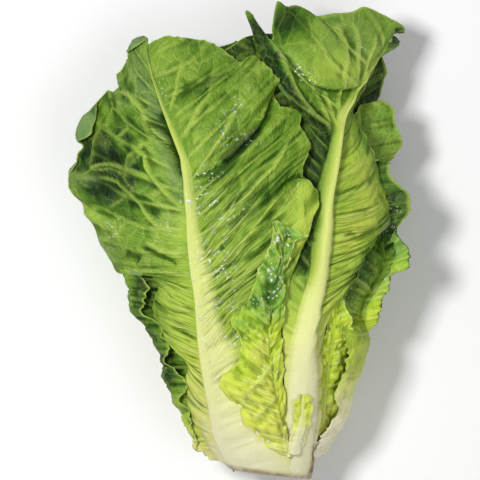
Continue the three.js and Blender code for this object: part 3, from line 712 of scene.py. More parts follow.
# The big leaf on the left, its outside face up.
leaf(
    "outer_leaf_left", GREEN, seed=11, grid=(250, 190), over=True, cut=True, thick=5, layer=[[-130, 1], [130, 1]],
    rib=[[-130, 1], [-122, -5], [-112, -10], [-92, -14.5], [-60, -18.5], [-33, -21.5], [0, -25.5], [16, -26.8],
        [38, -30], [50, -33.6], [63, -38], [76, -42.8], [90, -48], [107, -52.5]],
    midrib=[[-130, 4, 30, 1.5], [-112, 4, 28, 2.5], [-92, 3.5, 24, 3], [-60, 3.5, 19, 3.8], [-45, 3, 14, 3.8],
        [-33, 2.6, 11, 3.8], [0, 2.2, 7, 3.6], [16, 2, 5.2, 3.4], [38, 1.8, 4, 3], [63, 1.3, 2, 2.4],
        [85, 0.8, 1, 1.4], [107, 0.5, 0.6, 0.6]],
    rib_shown=[[-130, 1], [36, 0.9], [60, 0.6], [107, 0.3]],
    left=[[-130, -5, -129.5], [-125, -9, -124, 0, -0.5], [-120, -17, -118, 0, -1], [-112, -24, -104, 0.5, -1],
        [-106, -29, -97, 1, -1], [-98, -32, -84, 1, -1], [-88, -33, -67, 1, -2], [-80, -35, -60, 1.5, -2],
        [-70, -42, -54, 2, -2], [-60, -47, -46, 2, -2], [-50, -51, -36, 2, -2], [-40, -48, -26, 2, -2],
        [-33, -50, -20, 1, -2], [-28, -55, -16.5, 1, -1], [-24, -61, -16, 1, -1], [-20, -67, -17.5, 1, 1.5],
        [-16, -70, -12, 1, 2], [-12, -72, -6, 1, 3], [-7, -73.5, 0, 2, 5.5], [-2, -77.7, 12, 2, 5],
        [3, -80, 19, 2, 3.5], [8, -82.4, 25.5, 2, 7.8], [12, -83.8, 33, 2, 8.3], [16, -83.6, 40.5, 2, 7.5, 5],
        [19, -83.1, 43.5, 2, 5.7, 4], [22, -82.3, 47.5, 2, 8.8, 1], [25, -81, 52, 2, 8.2], [29, -79.1, 58, 2, 8.8, 8],
        [34, -75.9, 66, 2, 8.4, 17], [39, -72.8, 72.5, 2, 7, 12], [45, -69.9, 79, 2, 7, 1], [50, -68.3, 82.6, 2, 6],
        [54, -66, 82, 2, 4], [58, -64.4, 86.5, 2, 2], [62, -66.1, 90, 2, 2], [67, -64.6, 93, 1, 2],
        [75, -61.3, 100, 1, 1.5], [84, -60, 105, 0, 1, 2], [92, -57.5, 109.5, 0, 2, 6], [99, -51.5, 112, 0, 2, 5],
        [104, -50, 110.5, 0, 1, 1]],
    right=[[-130, 27, -131], [-120, 25.5, -116], [-110, 22, -100, 0, -1], [-101, 20, -84, 0, -1],
        [-92, 19, -68, 0, -1], [-83, 20, -52, 0, -1], [-74, 24, -34, 1, -1], [-66, 29, -16, 1, -1], [-59, 34, -4, 1],
        [-53, 37.5, 5, 1.5], [-47, 38, 12, 2, 1], [-41, 41, 19, 2, 1], [-34, 41.7, 26, 2, 1], [-28, 37, 31, 1],
        [-22, 35, 38, 1, -2], [-15, 37, 46, 1], [-8, 37.8, 53, 1], [-1, 34, 59], [5, 32, 63], [11, 34, 69.5, 0, -1],
        [17, 30, 71.5, 0, -2], [22, 23, 73, 0, -4], [27, 19, 80, 0, -4], [32, 20, 86, 2], [40, 17, 91, 3],
        [49, 12, 97, 4, -1], [57, 7, 100.2, 4, -1], [63, 3.5, 99.5, 4], [68, 0.5, 97, 4], [74, -4.5, 100, 3],
        [80, -11.3, 105.4, 2, -1], [86, -20, 109.4, 2, -1], [92, -29, 111, 1, -1], [98, -38, 112.4, 1, -1],
        [103, -44, 111, 0, -1], [106, -48, 108.5]],
    bend=0.03,
    pleats=[[-130, 0.05, 0.05], [-105, 0.4, 0.2], [-75, 0.9, 0.6], [-50, 1.1, 1.1], [-22, 0.8, 1.2], [-8, 0.4, 1.1],
        [10, 0.2, 0.8], [22, 0.15, 0.5], [30, 0.15, 0.2], [70, 0.15, 0.15], [107, 0.1, 0.1]],
    tone=[[-130, 0], [-112, 0.03], [-95, 0.1], [-75, 0.2], [-55, 0.32], [-35, 0.41], [-10, 0.48], [20, 0.54],
        [50, 0.6], [110, 0.68]],
    tone_out=0.12, ruffle=1.6, blister=0.4, swell=1.2, teeth=1.3,
    facets=[[-20, 0, 0], [0, 0.6, 0], [14, 1, 0.1], [45, 1, 0.15], [80, 0.4, 0.15], [107, 0.2, 0.1]],
    ridges=[((-33, 36, -40, 52, -47, 60, -50, 68, -59, 79, -69, 82), 1.3, 1.1),
        ((-29, 14, -41, 28, -48, 38, -51, 47, -58, 54), 1.8, 1.2), ((-43, 30, -55, 37, -69, 41, -77, 37), 1.3, 1.1),
        ((-40, 5, -48, 12, -54, 21, -64, 31, -76, 35), 1.3, 1.1), ((-88, 50, -83, 41, -77, 34, -75, 26), 2.2, 2),
        ((-68, 48, -57, 44), -1.2, 6), ((-82, 52, -74, 48), -1.2, 6), ((-72, 26, -62, 30), -1, 6),
        ((-84, 26, -76, 14, -70, 10, -63, 6), 2, 2), ((-32.4, 38, -37, 50, -41, 60, -46, 72), -4.5, 2.2),
        ((-88, 24, -80, 12), -1.5, 3), ((-62, -6, -54, -12), -1.6, 3), ((-50, 0, -40, -6, -30, -9), 1.4, 1.4),
        ((-52, -3, -42, -9, -32, -14), -1.6, 1.4), ((-24, 34, -15, 47, -8, 58, -2, 71), 1.3, 1.3),
        ((-31, 52, -20, 72, -14, 80), 1.1, 1.3), ((-38, 68, -33, 84, -30, 98), 0.9, 1.2),
        ((-32, 82, -14, 80), -1.6, 8), ((-34, 72, -28, 84), -0.6, 4), ((-6, 76, 8, 84), 1, 8),
        ((-22, 16, -8, 32, 6, 50, 17, 62, 26, 70), 2, 2.2), ((-20, 0, -6, 14, 8, 30, 18, 41, 29, 58), 1.6, 1.7),
        ((-14, -16, 0, -2, 12, 14, 20, 28), 1.4, 1.6), ((-12, -34, 2, -20, 14, -6, 24, 6), 1.2, 1.7)],
    folds=[((-29, 22, -34.4, 39.4, -39.6, 49.8, -47.4, 58.5, -50, 70), 2.6, 7),
        ((-75, 28, -77, 34, -83, 38.5, -89, 48), 2.4, 6), ((-60, 36, -52, 44, -50, 56), 1.2, 6),
        ((-25, 33, -15, 39, -6, 45, 6, 57, 12.6, 67, 20, 84), 3.2, 14), ((41, 29, 34, 33, 24, 29, 10, 14), 2.8, 10),
        ((-52, -30, -40, -36, -28, -40), 1.2, 6), ((-42, -52, -32, -62, -22, -70), 1.2, 6),
        ((-34, -72, -26, -84, -18, -92), 1, 6)],
    marks={
        "tone": [((-62, 34), 27, 0.33), ((-84, 54, -70, 52), 7, 0.2), ((-70, 32, -60, 20), 8, 0.1),
            ((-52, -2, -40, -12), 10, 0.14), ((-64, 60, -54, 58), 7, 0.06),
            # Painted shadow: the mark along the slit beside the midrib, from (-32.4, 38) to (-46, 72), darkens it.
            ((-32.4, 38, -37, 50, -41, 60, -46, 72), 2.2, 0.75), ((-26, 80, -12, 80), 9, 0.1),
            # Painted shade: the mark from (28, 34) to (14, 24) darkens the band between two lobes.
            ((-48, 50, -47, 40), 3, -0.2), ((28, 34, 14, 24), 4, 0.2), ((36, 22, 34, 8, 30, 0), 10, -0.36),
            ((8, 60, -8, 44), 3, 0.35), ((-62, -8), 5, 0.12), ((-80, 18, -68, 6), 6, -0.16), ((-10, -4), 1.6, 0.4),
            ((26, 72, 12, 60), 4, -0.1), ((4, 74, 8, 88), 9, -0.1), ((-44, 14), 3, 0.2),
            ((-50, -20, -44, -40, -36, -58), 5, 0.1)],
        "calm": [((34, 22, 32, 8), 9, 0.8), ((24, 62, 18, 78), 7, 0.4)],
        # Painted highlight: the haze mark from (-84, 41) to (-79, 34) is a whitish sheen along a fold.
        "haze": [((-58, 104, -52, 84, -45, 68, -38, 46, -32, 25), 4.5, 0.9), ((-84, 41, -79, 34), 3, 0.7),
            ((-50, -11), 6, 0.3), ((-37, 12), 6, 0.4), ((-58, 78), 7, 0.5)],
        "wet": [((-20, 34, -18, 10, -14, -10, -8, -34, -4, -48), 9, 1), ((-25, 22, -24, 0, -21, -20), 4.5, 1),
            ((-21, -26, -17, -60, -14, -80), 3.5, 0.9), ((-66, 6), 7, 0.6), ((-40, 4), 5, 0.8),
            ((-8, 54, -2, 80), 6, 0.35), ((8, 52, -12, 60), 3, 0.4), ((-44, 92, -40, 76), 2, 0.5),
            ((10, 30, -4, 12), 4, 0.5)],
    },
)

# The big leaf on the right, with a fan-shaped top that has flopped over.
leaf(
    "outer_leaf_right", GREEN, seed=23, tone_out=0.2, grid=(270, 140), over=True, cut=True, thick=5,
    layer=[[-130, 1], [-80, 0.99], [-30, 0.93], [85, 0.93], [112, 1]],
    rib=[[-131, 31], [-100, 32], [-80, 32.4], [-60, 33.4], [-40, 35.8], [-20, 38.6], [0, 40.8], [20, 43.2],
        [40, 47.4], [56, 50.2], [66, 52.9], [80, 61.2], [90, 67.5], [100, 74.6], [115, 82]],
    midrib=[[-131, 8, 7.5, 1.5], [-105, 8.5, 8, 3], [-83, 8.5, 8.5, 4.5], [-50, 7, 6.8, 5.5], [-20, 5.4, 5.2, 5.5],
        [10, 4.4, 4.2, 5], [38, 3.8, 3.6, 4.5], [58, 3, 3, 4], [78, 1.7, 1.8, 2.4], [95, 0.8, 0.9, 1.4],
        [115, 0.4, 0.5, 0.6]],
    rib_shown=[[-131, 1], [58, 1], [80, 0.6], [115, 0.25]],
    # Painted shade on the left side of the round midrib.
    rib_edge=[[-70, 0, 0], [-40, 0.06, 0], [-15, 0.18, 0], [20, 0.2, 0], [56, 0.12, 0.05], [80, 0, 0], [115, 0, 0]],
    left=[[-130, 22, -130, 0, -2], [-105, 23, -104, 0, -2], [-83, 23, -82, 0, -2], [-60, 22, -57, 0, -1],
        [-45, 22, -34, 0, -1], [-30, 25, -12, 0, -1], [-10, 29, 10, -1, -3], [10, 31, 32, -2, -6],
        [28, 32, 50, -2, -6], [40, 33, 62, -1, -4], [46, 30, 72, 0, -1, 0, 3], [50, 22, 84, 1, 1, 0, 5],
        [54, 15.5, 94, 2, 1, 0, 5], [58, 8.5, 103, 2, 1, 0, 5], [62, 5, 114, 2, 1, 0, 4], [66, 1.5, 125, 2, 1, 0, 2],
        [69, 5, 124.5, 2, 1, 0, 2], [72, 11, 113, 2, 1], [74, 16, 109.5, 2, 1], [77, 16.4, 117, 3, 1],
        [80, 18.5, 130.5, 4, 2], [84, 23.4, 128, 4, 2], [87, 28, 128.6, 4, 2], [90, 34, 126, 4, 2],
        [93, 40, 122.7, 4, 1], [96, 48, 124.5, 4, 1], [99, 58, 125.3, 4, 1], [102, 65.5, 128.6, 3, 1],
        [105, 74.6, 125.5, 2, 1], [108, 80, 122.3, 2, 2], [111, 85.8, 118.8, 1, 4], [114, 89, 115, 1, 5]],
    right=[[-131, 38, -131], [-105, 42, -106, 0, -1], [-86, 43.5, -84, 0, -1], [-72, 44, -68, 0, -1],
        [-62, 46, -48, 0, -2], [-57, 50, -38, 1, -2], [-52, 53, -27, 1, -2], [-48, 58, -24, 2, -3],
        [-44, 62.5, -20.5, 3, -3], [-37, 66.5, -12, 3, -4], [-31, 70, -5.5, 3, -4], [-23, 74, 4, 3, -4],
        [-15, 78, 12.7, 3, -4], [-7, 81, 20, 3, -4], [2, 80.5, 28, 3, -3], [11, 78, 36, 3, -3], [20, 74.5, 44, 2, -3],
        [31, 71, 53, 1, -3], [41, 67, 61, 0, -3], [50, 64.5, 67, 0, -3], [62, 64.5, 75, 0, -4], [75, 71, 83, 0, -5],
        [90, 76.5, 96, 0, -4], [100, 80, 103, 0, -3], [106, 87, 105.5, 0, 2], [112, 89, 110, 0, 5]],
    pleats=[[-130, 0.02, 0.05], [-90, 0.05, 0.2], [-50, 0.15, 0.5], [-25, 0.4, 0.9], [0, 0.9, 0.9], [20, 0.9, 0.7],
        [50, 0.5, 0.6], [66, 0.2, 0.4], [115, 0.12, 0.2]],
    tone=[[-130, 0.02], [-105, 0.04], [-80, 0.07], [-55, 0.14], [-35, 0.3], [-10, 0.48], [10, 0.52], [60, 0.54],
        [90, 0.54], [120, 0.58]],
    ruffle=0.8, blister=0.3, swell=1,
    ridges=[((14, 111, 20.6, 100, 24, 90, 28.3, 79.5, 36.7, 69, 43.7, 63.4, 49, 55), 2.6, 1.5),
        ((52, 64, 52.5, 82, 52.5, 105, 50, 112, 46.5, 121), 1.1, 1.2),
        ((55, 68, 61, 85, 59, 110, 55.6, 121), 0.9, 1.1), ((61, 76, 67, 91, 68, 103, 70, 114), 0.8, 1),
        ((50, 56, 43, 72, 37, 82), 1.1, 1.1), ((50.5, 58, 47, 73, 43, 82), 1, 1.1), ((84, 118, 86, 108), -2, 3),
        ((58, 4, 72, 12), 1, 3), ((56, -18, 64, -8), 1.2, 2.5)],
    folds=[((17, 108, 27, 96, 37, 85, 49, 82, 60, 83, 68, 88), 1.7, 20), ((78, 100, 80, 108, 82, 118), 1.6, 5)],
    marks={
        # Painted shadow: the first mark darkens the left of the midrib, where the lobes of the big left leaf shade
        # it.
        "tone": [((38, 10, 39, 30, 42, 48, 45, 58), 6, 0.55), ((33, -14, 35, 6), 4, 0.3),
            ((58, 0, 68, 20, 66, 38), 12, -0.3), ((40, 80, 60, 80), 5, 0.22),
            ((6, 116, 14, 97, 24, 80, 37, 66), 5, 0.4), ((60, 76, 70, 89, 84, 114), 3, 0.18),
            ((34, -24, 38, 10), 2.5, 0.2), ((70, -8, 62, -18), 5, 0.3), ((26, -104, 26, -60, 28, -34), 3, 0.04),
            ((28, -34, 31, -10, 34, 8), 3.5, 0.1), ((86, 111), 6, 0.3), ((23, 120), 8, 0.32), ((70, 24), 10, -0.06),
            ((70, -2, 60, -20), 4, 0.25), ((44, 98), 18, -0.2), ((66, 72, 66, 60, 76, 42), 4, 0.12)],
        "haze": [((56, 112), 20, 0.5), ((72, 34), 6, 0.3)],
        "wet": [((22, 101, 30, 91, 38, 84), 2.5, 0.9), ((62, 104), 3, 0.7), ((56, 86, 66, 96), 3, 0.35),
            ((45, 0, 41, -35, 37, -70), 2.5, 0.5), ((50, 50, 48, 20), 2, 0.3)],
        "brown": [((39.5, -116, 38, -124, 36, -130), 2, 1.3)],
    },
)

# The bright crinkled shoot that lies between the two big midribs.
leaf(
    "side_shoot_middle", BRIGHT, seed=37, grid=(150, 80), over=True, thick=2.5, blade=0.4,
    layer=[[-120, 1.06], [-100, 1.07], [-60, 1.07], [10, 1.07]],
    rib=[[-119, 26], [-88, 20], [-61, 15.5], [-33, 16.5], [-6, 21], [10, 17.6]],
    midrib=[[-119, 2.5, 2.5, 1.2], [-104, 1, 1, 0.5], [-80, 0.5, 0.5, 0.1], [8, 0.4, 0.4, 0.1]], calm=1,
    rib_shown=[[-119, 0.5], [-80, 0.15], [8, 0.1]],
    left=[[-118.5, 20, -117], [-115, 12.7, -113], [-111, 6.4, -105], [-107, 0.3, -99, 2], [-103, -2.3, -92, 2],
        [-99, -7, -87, 2], [-95.5, -10.4, -83.5, 3], [-92, -11.6, -79, 3], [-86, -9.6, -71, 3], [-79, -3.5, -66, 3],
        [-73, -1.4, -60, 2], [-67, -0.8, -54, 2], [-61, -2.5, -49, 2], [-56, -6, -44.6, 2], [-51, -4.5, -38, 2],
        [-45, 0.8, -33, 2], [-39, 4.3, -30, 2], [-34, 6, -24, 2], [-27, 8.2, -17, 2], [-20, 11, -12, 1],
        [-13, 13.2, -7, 1], [-8, 14.6, -2, 1], [-3, 15.8, 2.5, 1], [3, 16.2, 6, 1], [9, 16.8, 9.8]],
    right=[[-118.5, 26, -118], [-111, 26, -108, 0, -2], [-103, 25.6, -98, 0, -3.4], [-92, 24.6, -84, 0, -4],
        [-77, 23.8, -68, 0, -4], [-62, 23.2, -54, 0, -4], [-49, 23.8, -41, 0, -3.6], [-38, 24.4, -30, 0, -3],
        [-29, 24, -21, 0, -2.4], [-21, 25, -14, 0, -2], [-14, 26.4, -9, 0, -1], [-7, 28.4, -2.5], [-2, 30, 0.5],
        [1, 34.5, 2.4, 1, 1], [4, 29, 6], [7, 23, 9], [9.5, 18.5, 10.4]],
    pleats=[[-119, 0.4, 0.4], [-95, 0.7, 0.7], [-60, 0.7, 0.7], [8, 0.5, 0.5]], bend=0.02,
    tone=[[-119, 0.1], [-104, 0.22], [-80, 0.38], [-60, 0.48], [-46, 0.68], [-20, 0.8], [8, 0.76]], tone_out=0.04,
    quilt=0.9, vein_gap=8, cell=5.5, blister=1.9, swell=0.8, ruffle=1.5, wave=9, teeth=1.4,
    ridges=[((15, -22, 16, -36), -3, 4), ((2, -36, 9, -32), -2.4, 3.5), ((28, 3, 23, -2, 22, -10), -1.8, 2.2),
        ((17, 8, 21, 0, 20, -12), 1.4, 1.3), ((20, -62, 11, -74, 2, -84), 1, 1.2),
        ((20, -84, 12, -92, 6, -98), 0.9, 1.2)],
    marks={
        "tone": [((15, -22, 16, -36), 4.5, 0.2), ((3, -34, 8, -32), 4, 0.14), ((-3, -60, 2, -70), 5, 0.14),
            ((18, -48, 10, -60), 5, -0.18), ((14, -80), 7, -0.1), ((24, 3), 4, 0.2)],
        "wet": [((22, 0, 14, -30, 4, -50), 9, 0.9), ((16, -70, 0, -84), 8, 0.7), ((8, -100, 20, -108), 6, 0.6)],
    },
)

# The small pale leaf at the foot of the right midrib.
leaf(
    "baby_leaf", BRIGHT, seed=41, grid=(60, 32), over=True, thick=2, blade=0.4,
    layer=[[-120, 1.12], [-104, 1.16], [-84, 1.16]], rib=[[-118, 28.5], [-104, 32], [-84, 33.5]],
    midrib=[[-118, 2.6, 2.6, 1.5], [-104, 2, 2, 1.1], [-96, 1.2, 1.2, 0.6], [-84, 0.5, 0.5, 0.2]],
    left=[[-118, 26, -117], [-112, 25.6, -112, 0, -1], [-106, 26.4, -105, 0, -1], [-101, 28.4, -99, 0, -1],
        [-97, 28, -94], [-94, 28.4, -91], [-91, 27.6, -87.4], [-88, 30.2, -86.8], [-86, 31.5, -84]],
    right=[[-118, 30.5, -117], [-112, 34.4, -112, 0, -1.6], [-104, 37, -103, 0, -1.6], [-99, 38, -97, 0, -1],
        [-96, 38, -94], [-93, 39, -90.4], [-90, 37.8, -88], [-87, 38.2, -85.4], [-85.5, 34.5, -84]],
    pleats=[[-118, 0.1, 0.1], [-84, 0.4, 0.4]],
    tone=[[-118, 0.02], [-108, 0.04], [-102, 0.14], [-95, 0.34], [-84, 0.42]], quilt=0.5, vein_gap=5, cell=3.5,
    blister=0.8, swell=0.3, ruffle=0.7, wave=6, teeth=1.2, calm=2,
)

# The narrow bright shoot along the right midrib.
leaf(
    "side_shoot_right", BRIGHT, seed=43, grid=(120, 40), over=True, thick=2, blade=0.4,
    layer=[[-106, 0.93], [-70, 0.92], [-40, 0.92], [-26, 0.92]],
    rib=[[-106, 44.5], [-76, 46.5], [-50, 50], [-27, 52]], midrib=[[-106, 1.2, 1.2, 0.4], [-27, 0.5, 0.5, 0.1]],
    rib_shown=[[-106, 0.5], [-27, 0.1]],
    left=[[-105, 37.5, -111], [-98, 38, -99], [-90, 39, -90], [-76, 41.5, -74], [-60, 43, -58], [-46, 46, -43],
        [-34, 49.5, -31]],
    right=[[-104, 49, -106, 0, 1], [-96, 52, -98, 0, 1.6], [-84, 53, -84, 0, 2.2], [-74, 56, -72, 0, 2.2],
        [-60, 58, -56, 0, 2.2], [-46, 57, -42, 0, 2], [-34, 54, -28, 0, 1]],
    pleats=[[-106, 0.3, 0.3], [-27, 0.5, 0.5]],
    tone=[[-106, 0.22], [-80, 0.44], [-50, 0.5], [-36, 0.6], [-27, 0.74]], quilt=0.6, vein_gap=6, cell=4, blister=1.3,
    swell=0.5, ruffle=1, wave=8, teeth=1.2, calm=2.5, marks={"wet": [((47, -95, 50, -60), 4, 0.5)]},
)

# The smooth pale leaf at the lower right.
leaf(
    "pale_leaf_right", SMOOTH, seed=47, grid=(130, 80), thick=4, blade=0.6,
    layer=[[-119, 0.98], [-90, 0.98], [-60, 0.97], [-46, 0.9], [-37, 0.82]], rib=[[-119, 94], [-40, 92]],
    midrib=[[-119, 9, 9, 1], [-40, 5, 5, 1]],
    left=[[-118, 52, -121], [-112, 52, -112, 0, 1], [-104, 50, -103.5, 2, 3], [-97, 56, -97, 3, 3],
        [-90, 51, -90, 3, 3], [-84, 47.5, -84, 3, 3], [-78, 51, -77, 3, 3], [-71, 49, -71, 3, 3],
        [-63, 51, -62, 3, 3], [-57, 48, -55, 3, 3], [-51, 46, -50, 2, 2], [-46, 49, -46, 1], [-42, 58, -43, 0, -2]],
    right=[[-118, 110, -119], [-110, 119, -109], [-92, 119, -92], [-74, 119, -70], [-56, 116, -50], [-42, 98, -40]],
    pleats=[[-119, 0, 0], [-38, 0.15, 0.15]],
    tone=[[-119, 0.02], [-108, 0.08], [-96, 0.18], [-84, 0.3], [-70, 0.46], [-56, 0.6], [-40, 0.74]], quilt=0.4,
    blister=0.8, cell=5, swell=1.2, ruffle=1, wave=7, teeth=1.8, calm=4,
    marks={"haze": [((64, -50), 8, 0.15)], "tone": [((54, -118, 60, -98), 8, -0.06)]},
)

# The leaf on the right whose ruffled margin curls up.
leaf(
    "ruffled_leaf_right", GREEN_CURLED, seed=53, grid=(200, 120), fold=2.2,
    layer=[[-112, 0.78], [-90, 0.82], [-60, 0.86], [50, 0.87]], rib=[[-112, 84], [-60, 80], [44, 76]],
    midrib=[[-112, 2, 2, 1], [-60, 0.5, 0.5, 0.3], [44, 0.3, 0.3, 0.2]], rib_shown=[[0, 0], [1, 0]],
    left=[[-110, 66, -110], [-86, 60, -84], [-62, 50, -56], [-46, 48, -40, 0, 1], [-34, 50, -26, 0, 2],
        [-18, 53, -6, 0, 3], [4, 57, 14, 0, 3], [22, 60, 32, 0, 2], [40, 70, 44, 0, 2]],
    right=[[-110, 104, -110], [-86, 108, -84], [-68, 98, -62, 0, 2], [-58, 84, -50, -1, 6, 8],
        [-50, 78, -45, -1, 10, 17], [-44, 75, -40, -1, 11, 19], [-39, 75, -36, -1, 11.5, 21],
        [-33, 75, -28, -1, 10, 20], [-28, 75, -22.6, -1, 8.4, 20], [-24, 75, -18.5, 0, 8.5, 19],
        [-20, 75, -15, 0, 14.6, 23], [-16, 75, -11, 0, 15, 22], [-10, 75, -4, 0, 14, 14], [-4, 77, 2, 0, 10, 7],
        [2, 78, 7.7, 0, 9.6], [9, 78, 14, 0, 15.9], [15, 78, 18.5, 0, 15.8], [22, 78, 26, 0, 16.2],
        [27, 78, 29.7, 0, 12.8], [32, 78, 35, 0, 9.3], [40, 78, 42, 0, 9]],
    pleats=[[-112, 0.3, 0.3], [0, 0.8, 0.8], [44, 0.8, 0.8]],
    tone=[[-112, 0.1], [-60, 0.42], [-20, 0.68], [-6, 0.86], [8, 0.94], [44, 0.94]], ruffle=1.2, wave=12, blister=1,
    teeth=1.3, swell=1,
    ridges=[((56, -36, 62, -26, 67, -12, 72, 8), -2.5, 4), ((84, 20, 79, 4, 74, -10), -1.5, 3),
        ((90, 14, 84, 2, 80, -12), 1.4, 2), ((60, -20, 68, -26, 72, -34), 1.4, 1.5)],
    marks={
        "tone": [((56, -36, 62, -26, 67, -12, 72, 10), 5, 0.1), ((60, -30, 66, -26), 7, 0.08),
            ((92, -8, 86, -20, 78, -32, 68, -42), 4, -0.06), ((92, 22, 91, 0, 92, -14), 3, -0.2)],
        "wet": [((60, -30, 66, -24), 7, 0.4), ((80, -22, 72, -36), 6, 0.7), ((78, 18, 82, 6), 5, 0.6)],
    },
)

# The leaf behind the curled margin.
leaf(
    "back_leaf_right", GREEN, seed=59, grid=(120, 80), layer=[[-108, 0.68], [-80, 0.74], [-40, 0.77], [90, 0.79]],
    rib=[[-108, 96], [-20, 86], [74, 76]],
    midrib=[[-108, 4, 4, 1], [0, 0.5, 0.5, 0.3], [74, 0.3, 0.3, 0.2]], rib_shown=[[0, 0], [1, 0]],
    left=[[-106, 76, -106], [-80, 64, -78], [-50, 52, -44], [-20, 50, -10], [8, 50, 22], [34, 54, 47, 0, 1],
        [54, 58, 64, 1, 2], [68, 68, 74, 2, 4]],
    right=[[-106, 106, -106], [-80, 122, -78], [-50, 124, -44], [-20, 118, -10], [8, 110, 20, 0, 2],
        [26, 102, 38, 3, 9], [34, 98, 43, 3, 14.5], [42, 96, 48, 3, 17.5], [50, 94, 54, 3, 21], [57, 92, 60, 3, 19.5],
        [63, 90, 67, 3, 18.5], [69, 86, 73, 2, 18.5], [73, 80, 77, 1, 13]],
    tone=[[-108, 0.2], [-40, 0.5], [40, 0.64], [74, 0.68]], pleats=[[-108, 0.2, 0.2], [74, 0.2, 0.2]], ruffle=0.6,
    blister=0.25, teeth=1, marks={"haze": [((82, 60), 14, 0.7)]},
)

# The dark leaf behind the fan.
leaf(
    "tall_leaf_right", GREEN, seed=61, grid=(120, 80),
    layer=[[-104, 0.58], [-80, 0.63], [-40, 0.68], [74, 0.7], [92, 0.76], [105, 0.78]],
    rib=[[-104, 66], [0, 62], [100, 66]], midrib=[[-104, 4, 4, 1], [100, 1, 1, 0.6]],
    left=[[-102, 46, -102], [-76, 34, -72], [-46, 24, -36], [-14, 22, 0], [18, 26, 36], [48, 34, 66], [76, 44, 88],
        [94, 58, 101]],
    right=[[-102, 86, -102], [-76, 98, -72], [-46, 104, -36], [-14, 104, 0], [18, 102, 36], [48, 96, 66, 0, 2],
        [62, 94, 77, 3, 16], [76, 88, 90, 2, 15], [94, 82, 102, 2, 11]],
    tone=[[-104, 0.2], [-40, 0.6], [60, 1], [100, 1]], pleats=[[-104, 0.2, 0.2], [100, 0.3, 0.3]], ruffle=1,
    blister=0.4,
)

# The leaf whose ruffled edge shows down the lower left side.
leaf(
    "ruffled_leaf_left", GREEN_BOTH, seed=67, grid=(210, 130), fold=2.6,
    layer=[[-122, 0.82], [-96, 0.9], [-60, 0.91], [-20, 0.91], [0, 0.9]], rib=[[-123, -46], [-60, -44], [-4, -44]],
    midrib=[[-116, 1, 1, 0.5], [-4, 1, 1, 0.5]], rib_shown=[[0, 0], [1, 0]],
    right=[[-122, -42, -122], [-60, -40, -58], [-10, -40, -8]],
    left=[[-122, -70, -122, 0, 5], [-119, -70, -119, 0, 7], [-116, -70, -116, 0, 8], [-112, -70, -112, 0, 8.6, 2],
        [-107, -70, -106, -1, 7.4, 4], [-102, -70, -101, -1, 7.6, 6], [-96, -70, -95, -1, 5.6, 9],
        [-91, -70, -90, -1, 5.8, 9], [-86, -70, -85, -1, 4.8, 10], [-80, -70, -79, -1, 6.2, 14],
        [-76, -70, -75, -1, 7.6, 14], [-72, -70, -71, -1, 7, 12], [-66, -70, -65, -1, 6.4, 7],
        [-63, -70, -61, -1, 6.3, 11], [-58, -70, -57, -1, 7.3, 13], [-54, -70, -52, -1, 7.5, 11],
        [-49, -70, -47, -1, 8.6, 13], [-44, -70, -42, -1, 10.3, 12], [-39, -70, -37, -1, 10, 10],
        [-35, -70, -33, -1, 9, 13], [-30, -70, -28, -1, 7.8, 17], [-24, -70, -22, -1, 6.2, 18],
        [-19, -70, -18, 0, 5.4, 13], [-14, -70, -13, 0, 5, 5], [-10, -62, -7, 0, 2]],
    pleats=[[-116, 0.6, 0.2], [-4, 1, 0.2]], vein_gap=8,
    tone=[[-122, 0.06], [-112, 0.14], [-104, 0.26], [-96, 0.48], [-80, 0.62], [-40, 0.64], [-4, 0.7]], ruffle=1.4,
    wave=7, blister=1.2, cell=6, teeth=1.4, swell=1,
    marks={
        # Painted shade: the first mark darkens the inner blade in the deep gap under the big left leaf's margin.
        "tone": [((-47, -20, -47, -36, -43, -50, -38, -58, -35, -70, -32, -84), 4, 0.35),
            ((-62, -20, -61, -34, -55, -46, -48, -56, -44, -68, -42, -78, -36, -90), 5, -0.2),
            ((-38, -88, -33, -100, -27, -112), 5, -0.2)],
        "wet": [((-58, -20, -48, -56), 5, 0.5)],
    },
)

# The dark leaf between the tops of the two big leaves.
leaf(
    "back_leaf_middle", GREEN, seed=71, grid=(100, 70),
    layer=[[-100, 0.6], [-70, 0.72], [-30, 0.8], [30, 0.84], [120, 0.82]], rib=[[-100, -10], [0, -4], [113, 2]],
    midrib=[[-100, 4, 4, 1.5], [113, 1, 1, 0.6]],
    left=[[-98, -32, -98], [-72, -46, -68], [-44, -56, -34], [-12, -60, 0], [22, -58, 36], [54, -46, 68],
        [82, -30, 92], [106, -8, 111]],
    right=[[-98, 12, -98], [-72, 22, -68], [-44, 24, -34], [-12, 22, 0], [22, 24, 36], [54, 28, 68], [84, 26, 96],
        [108, 12, 113]],
    tone=[[-100, 0.2], [-40, 0.6], [60, 0.95], [113, 0.95]], pleats=[[-100, 0.3, 0.3], [113, 0.6, 0.6]], ruffle=2,
    blister=0.5,
)


# ---- the leaves below and inside

# Outline of a leaf that wraps the heart evenly: place on the rib, width, and place along the head, as shares.
WRAPPED_SHAPE = [[0, 0.42, 0], [0.2, 0.62, 0.22], [0.45, 0.9, 0.5], [0.7, 1, 0.74], [0.88, 0.8, 0.93], [1, 0.2, 1]]
TIP_LEFT = 4  # length of the tip beyond the last side vein


def wrapped(name, finish, turn, base, tip, wide, layer, **settings):
    """A leaf that wraps the heart evenly: widest two thirds up and rounded at the tip."""
    length = tip - base
    sides = {side: [[base + (tip - TIP_LEFT - base) * start, turn + sign * wide * out, base + length * end]
                    for start, out, end in WRAPPED_SHAPE] for side, sign in SIDES}
    leaf(name, finish, rib=[[base, turn], [tip, turn]], layer=layer, **sides,
         midrib=[[base, 6, 6, 2], [base + 0.5 * length, 3.5, 3.5, 2], [tip, 1, 1, 0.6]],
         tone=[[base, 0], [base + 0.2 * length, 0.15], [base + 0.5 * length, 0.45], [tip, 0.75]],
         tone_out=0.2, **settings)


wrapped("under_leaf_middle", GREEN, 180, -129, 112, 58, [[-130, 1], [120, 1]], cut=True, seed=73, grid=(120, 80),
        thick=5)

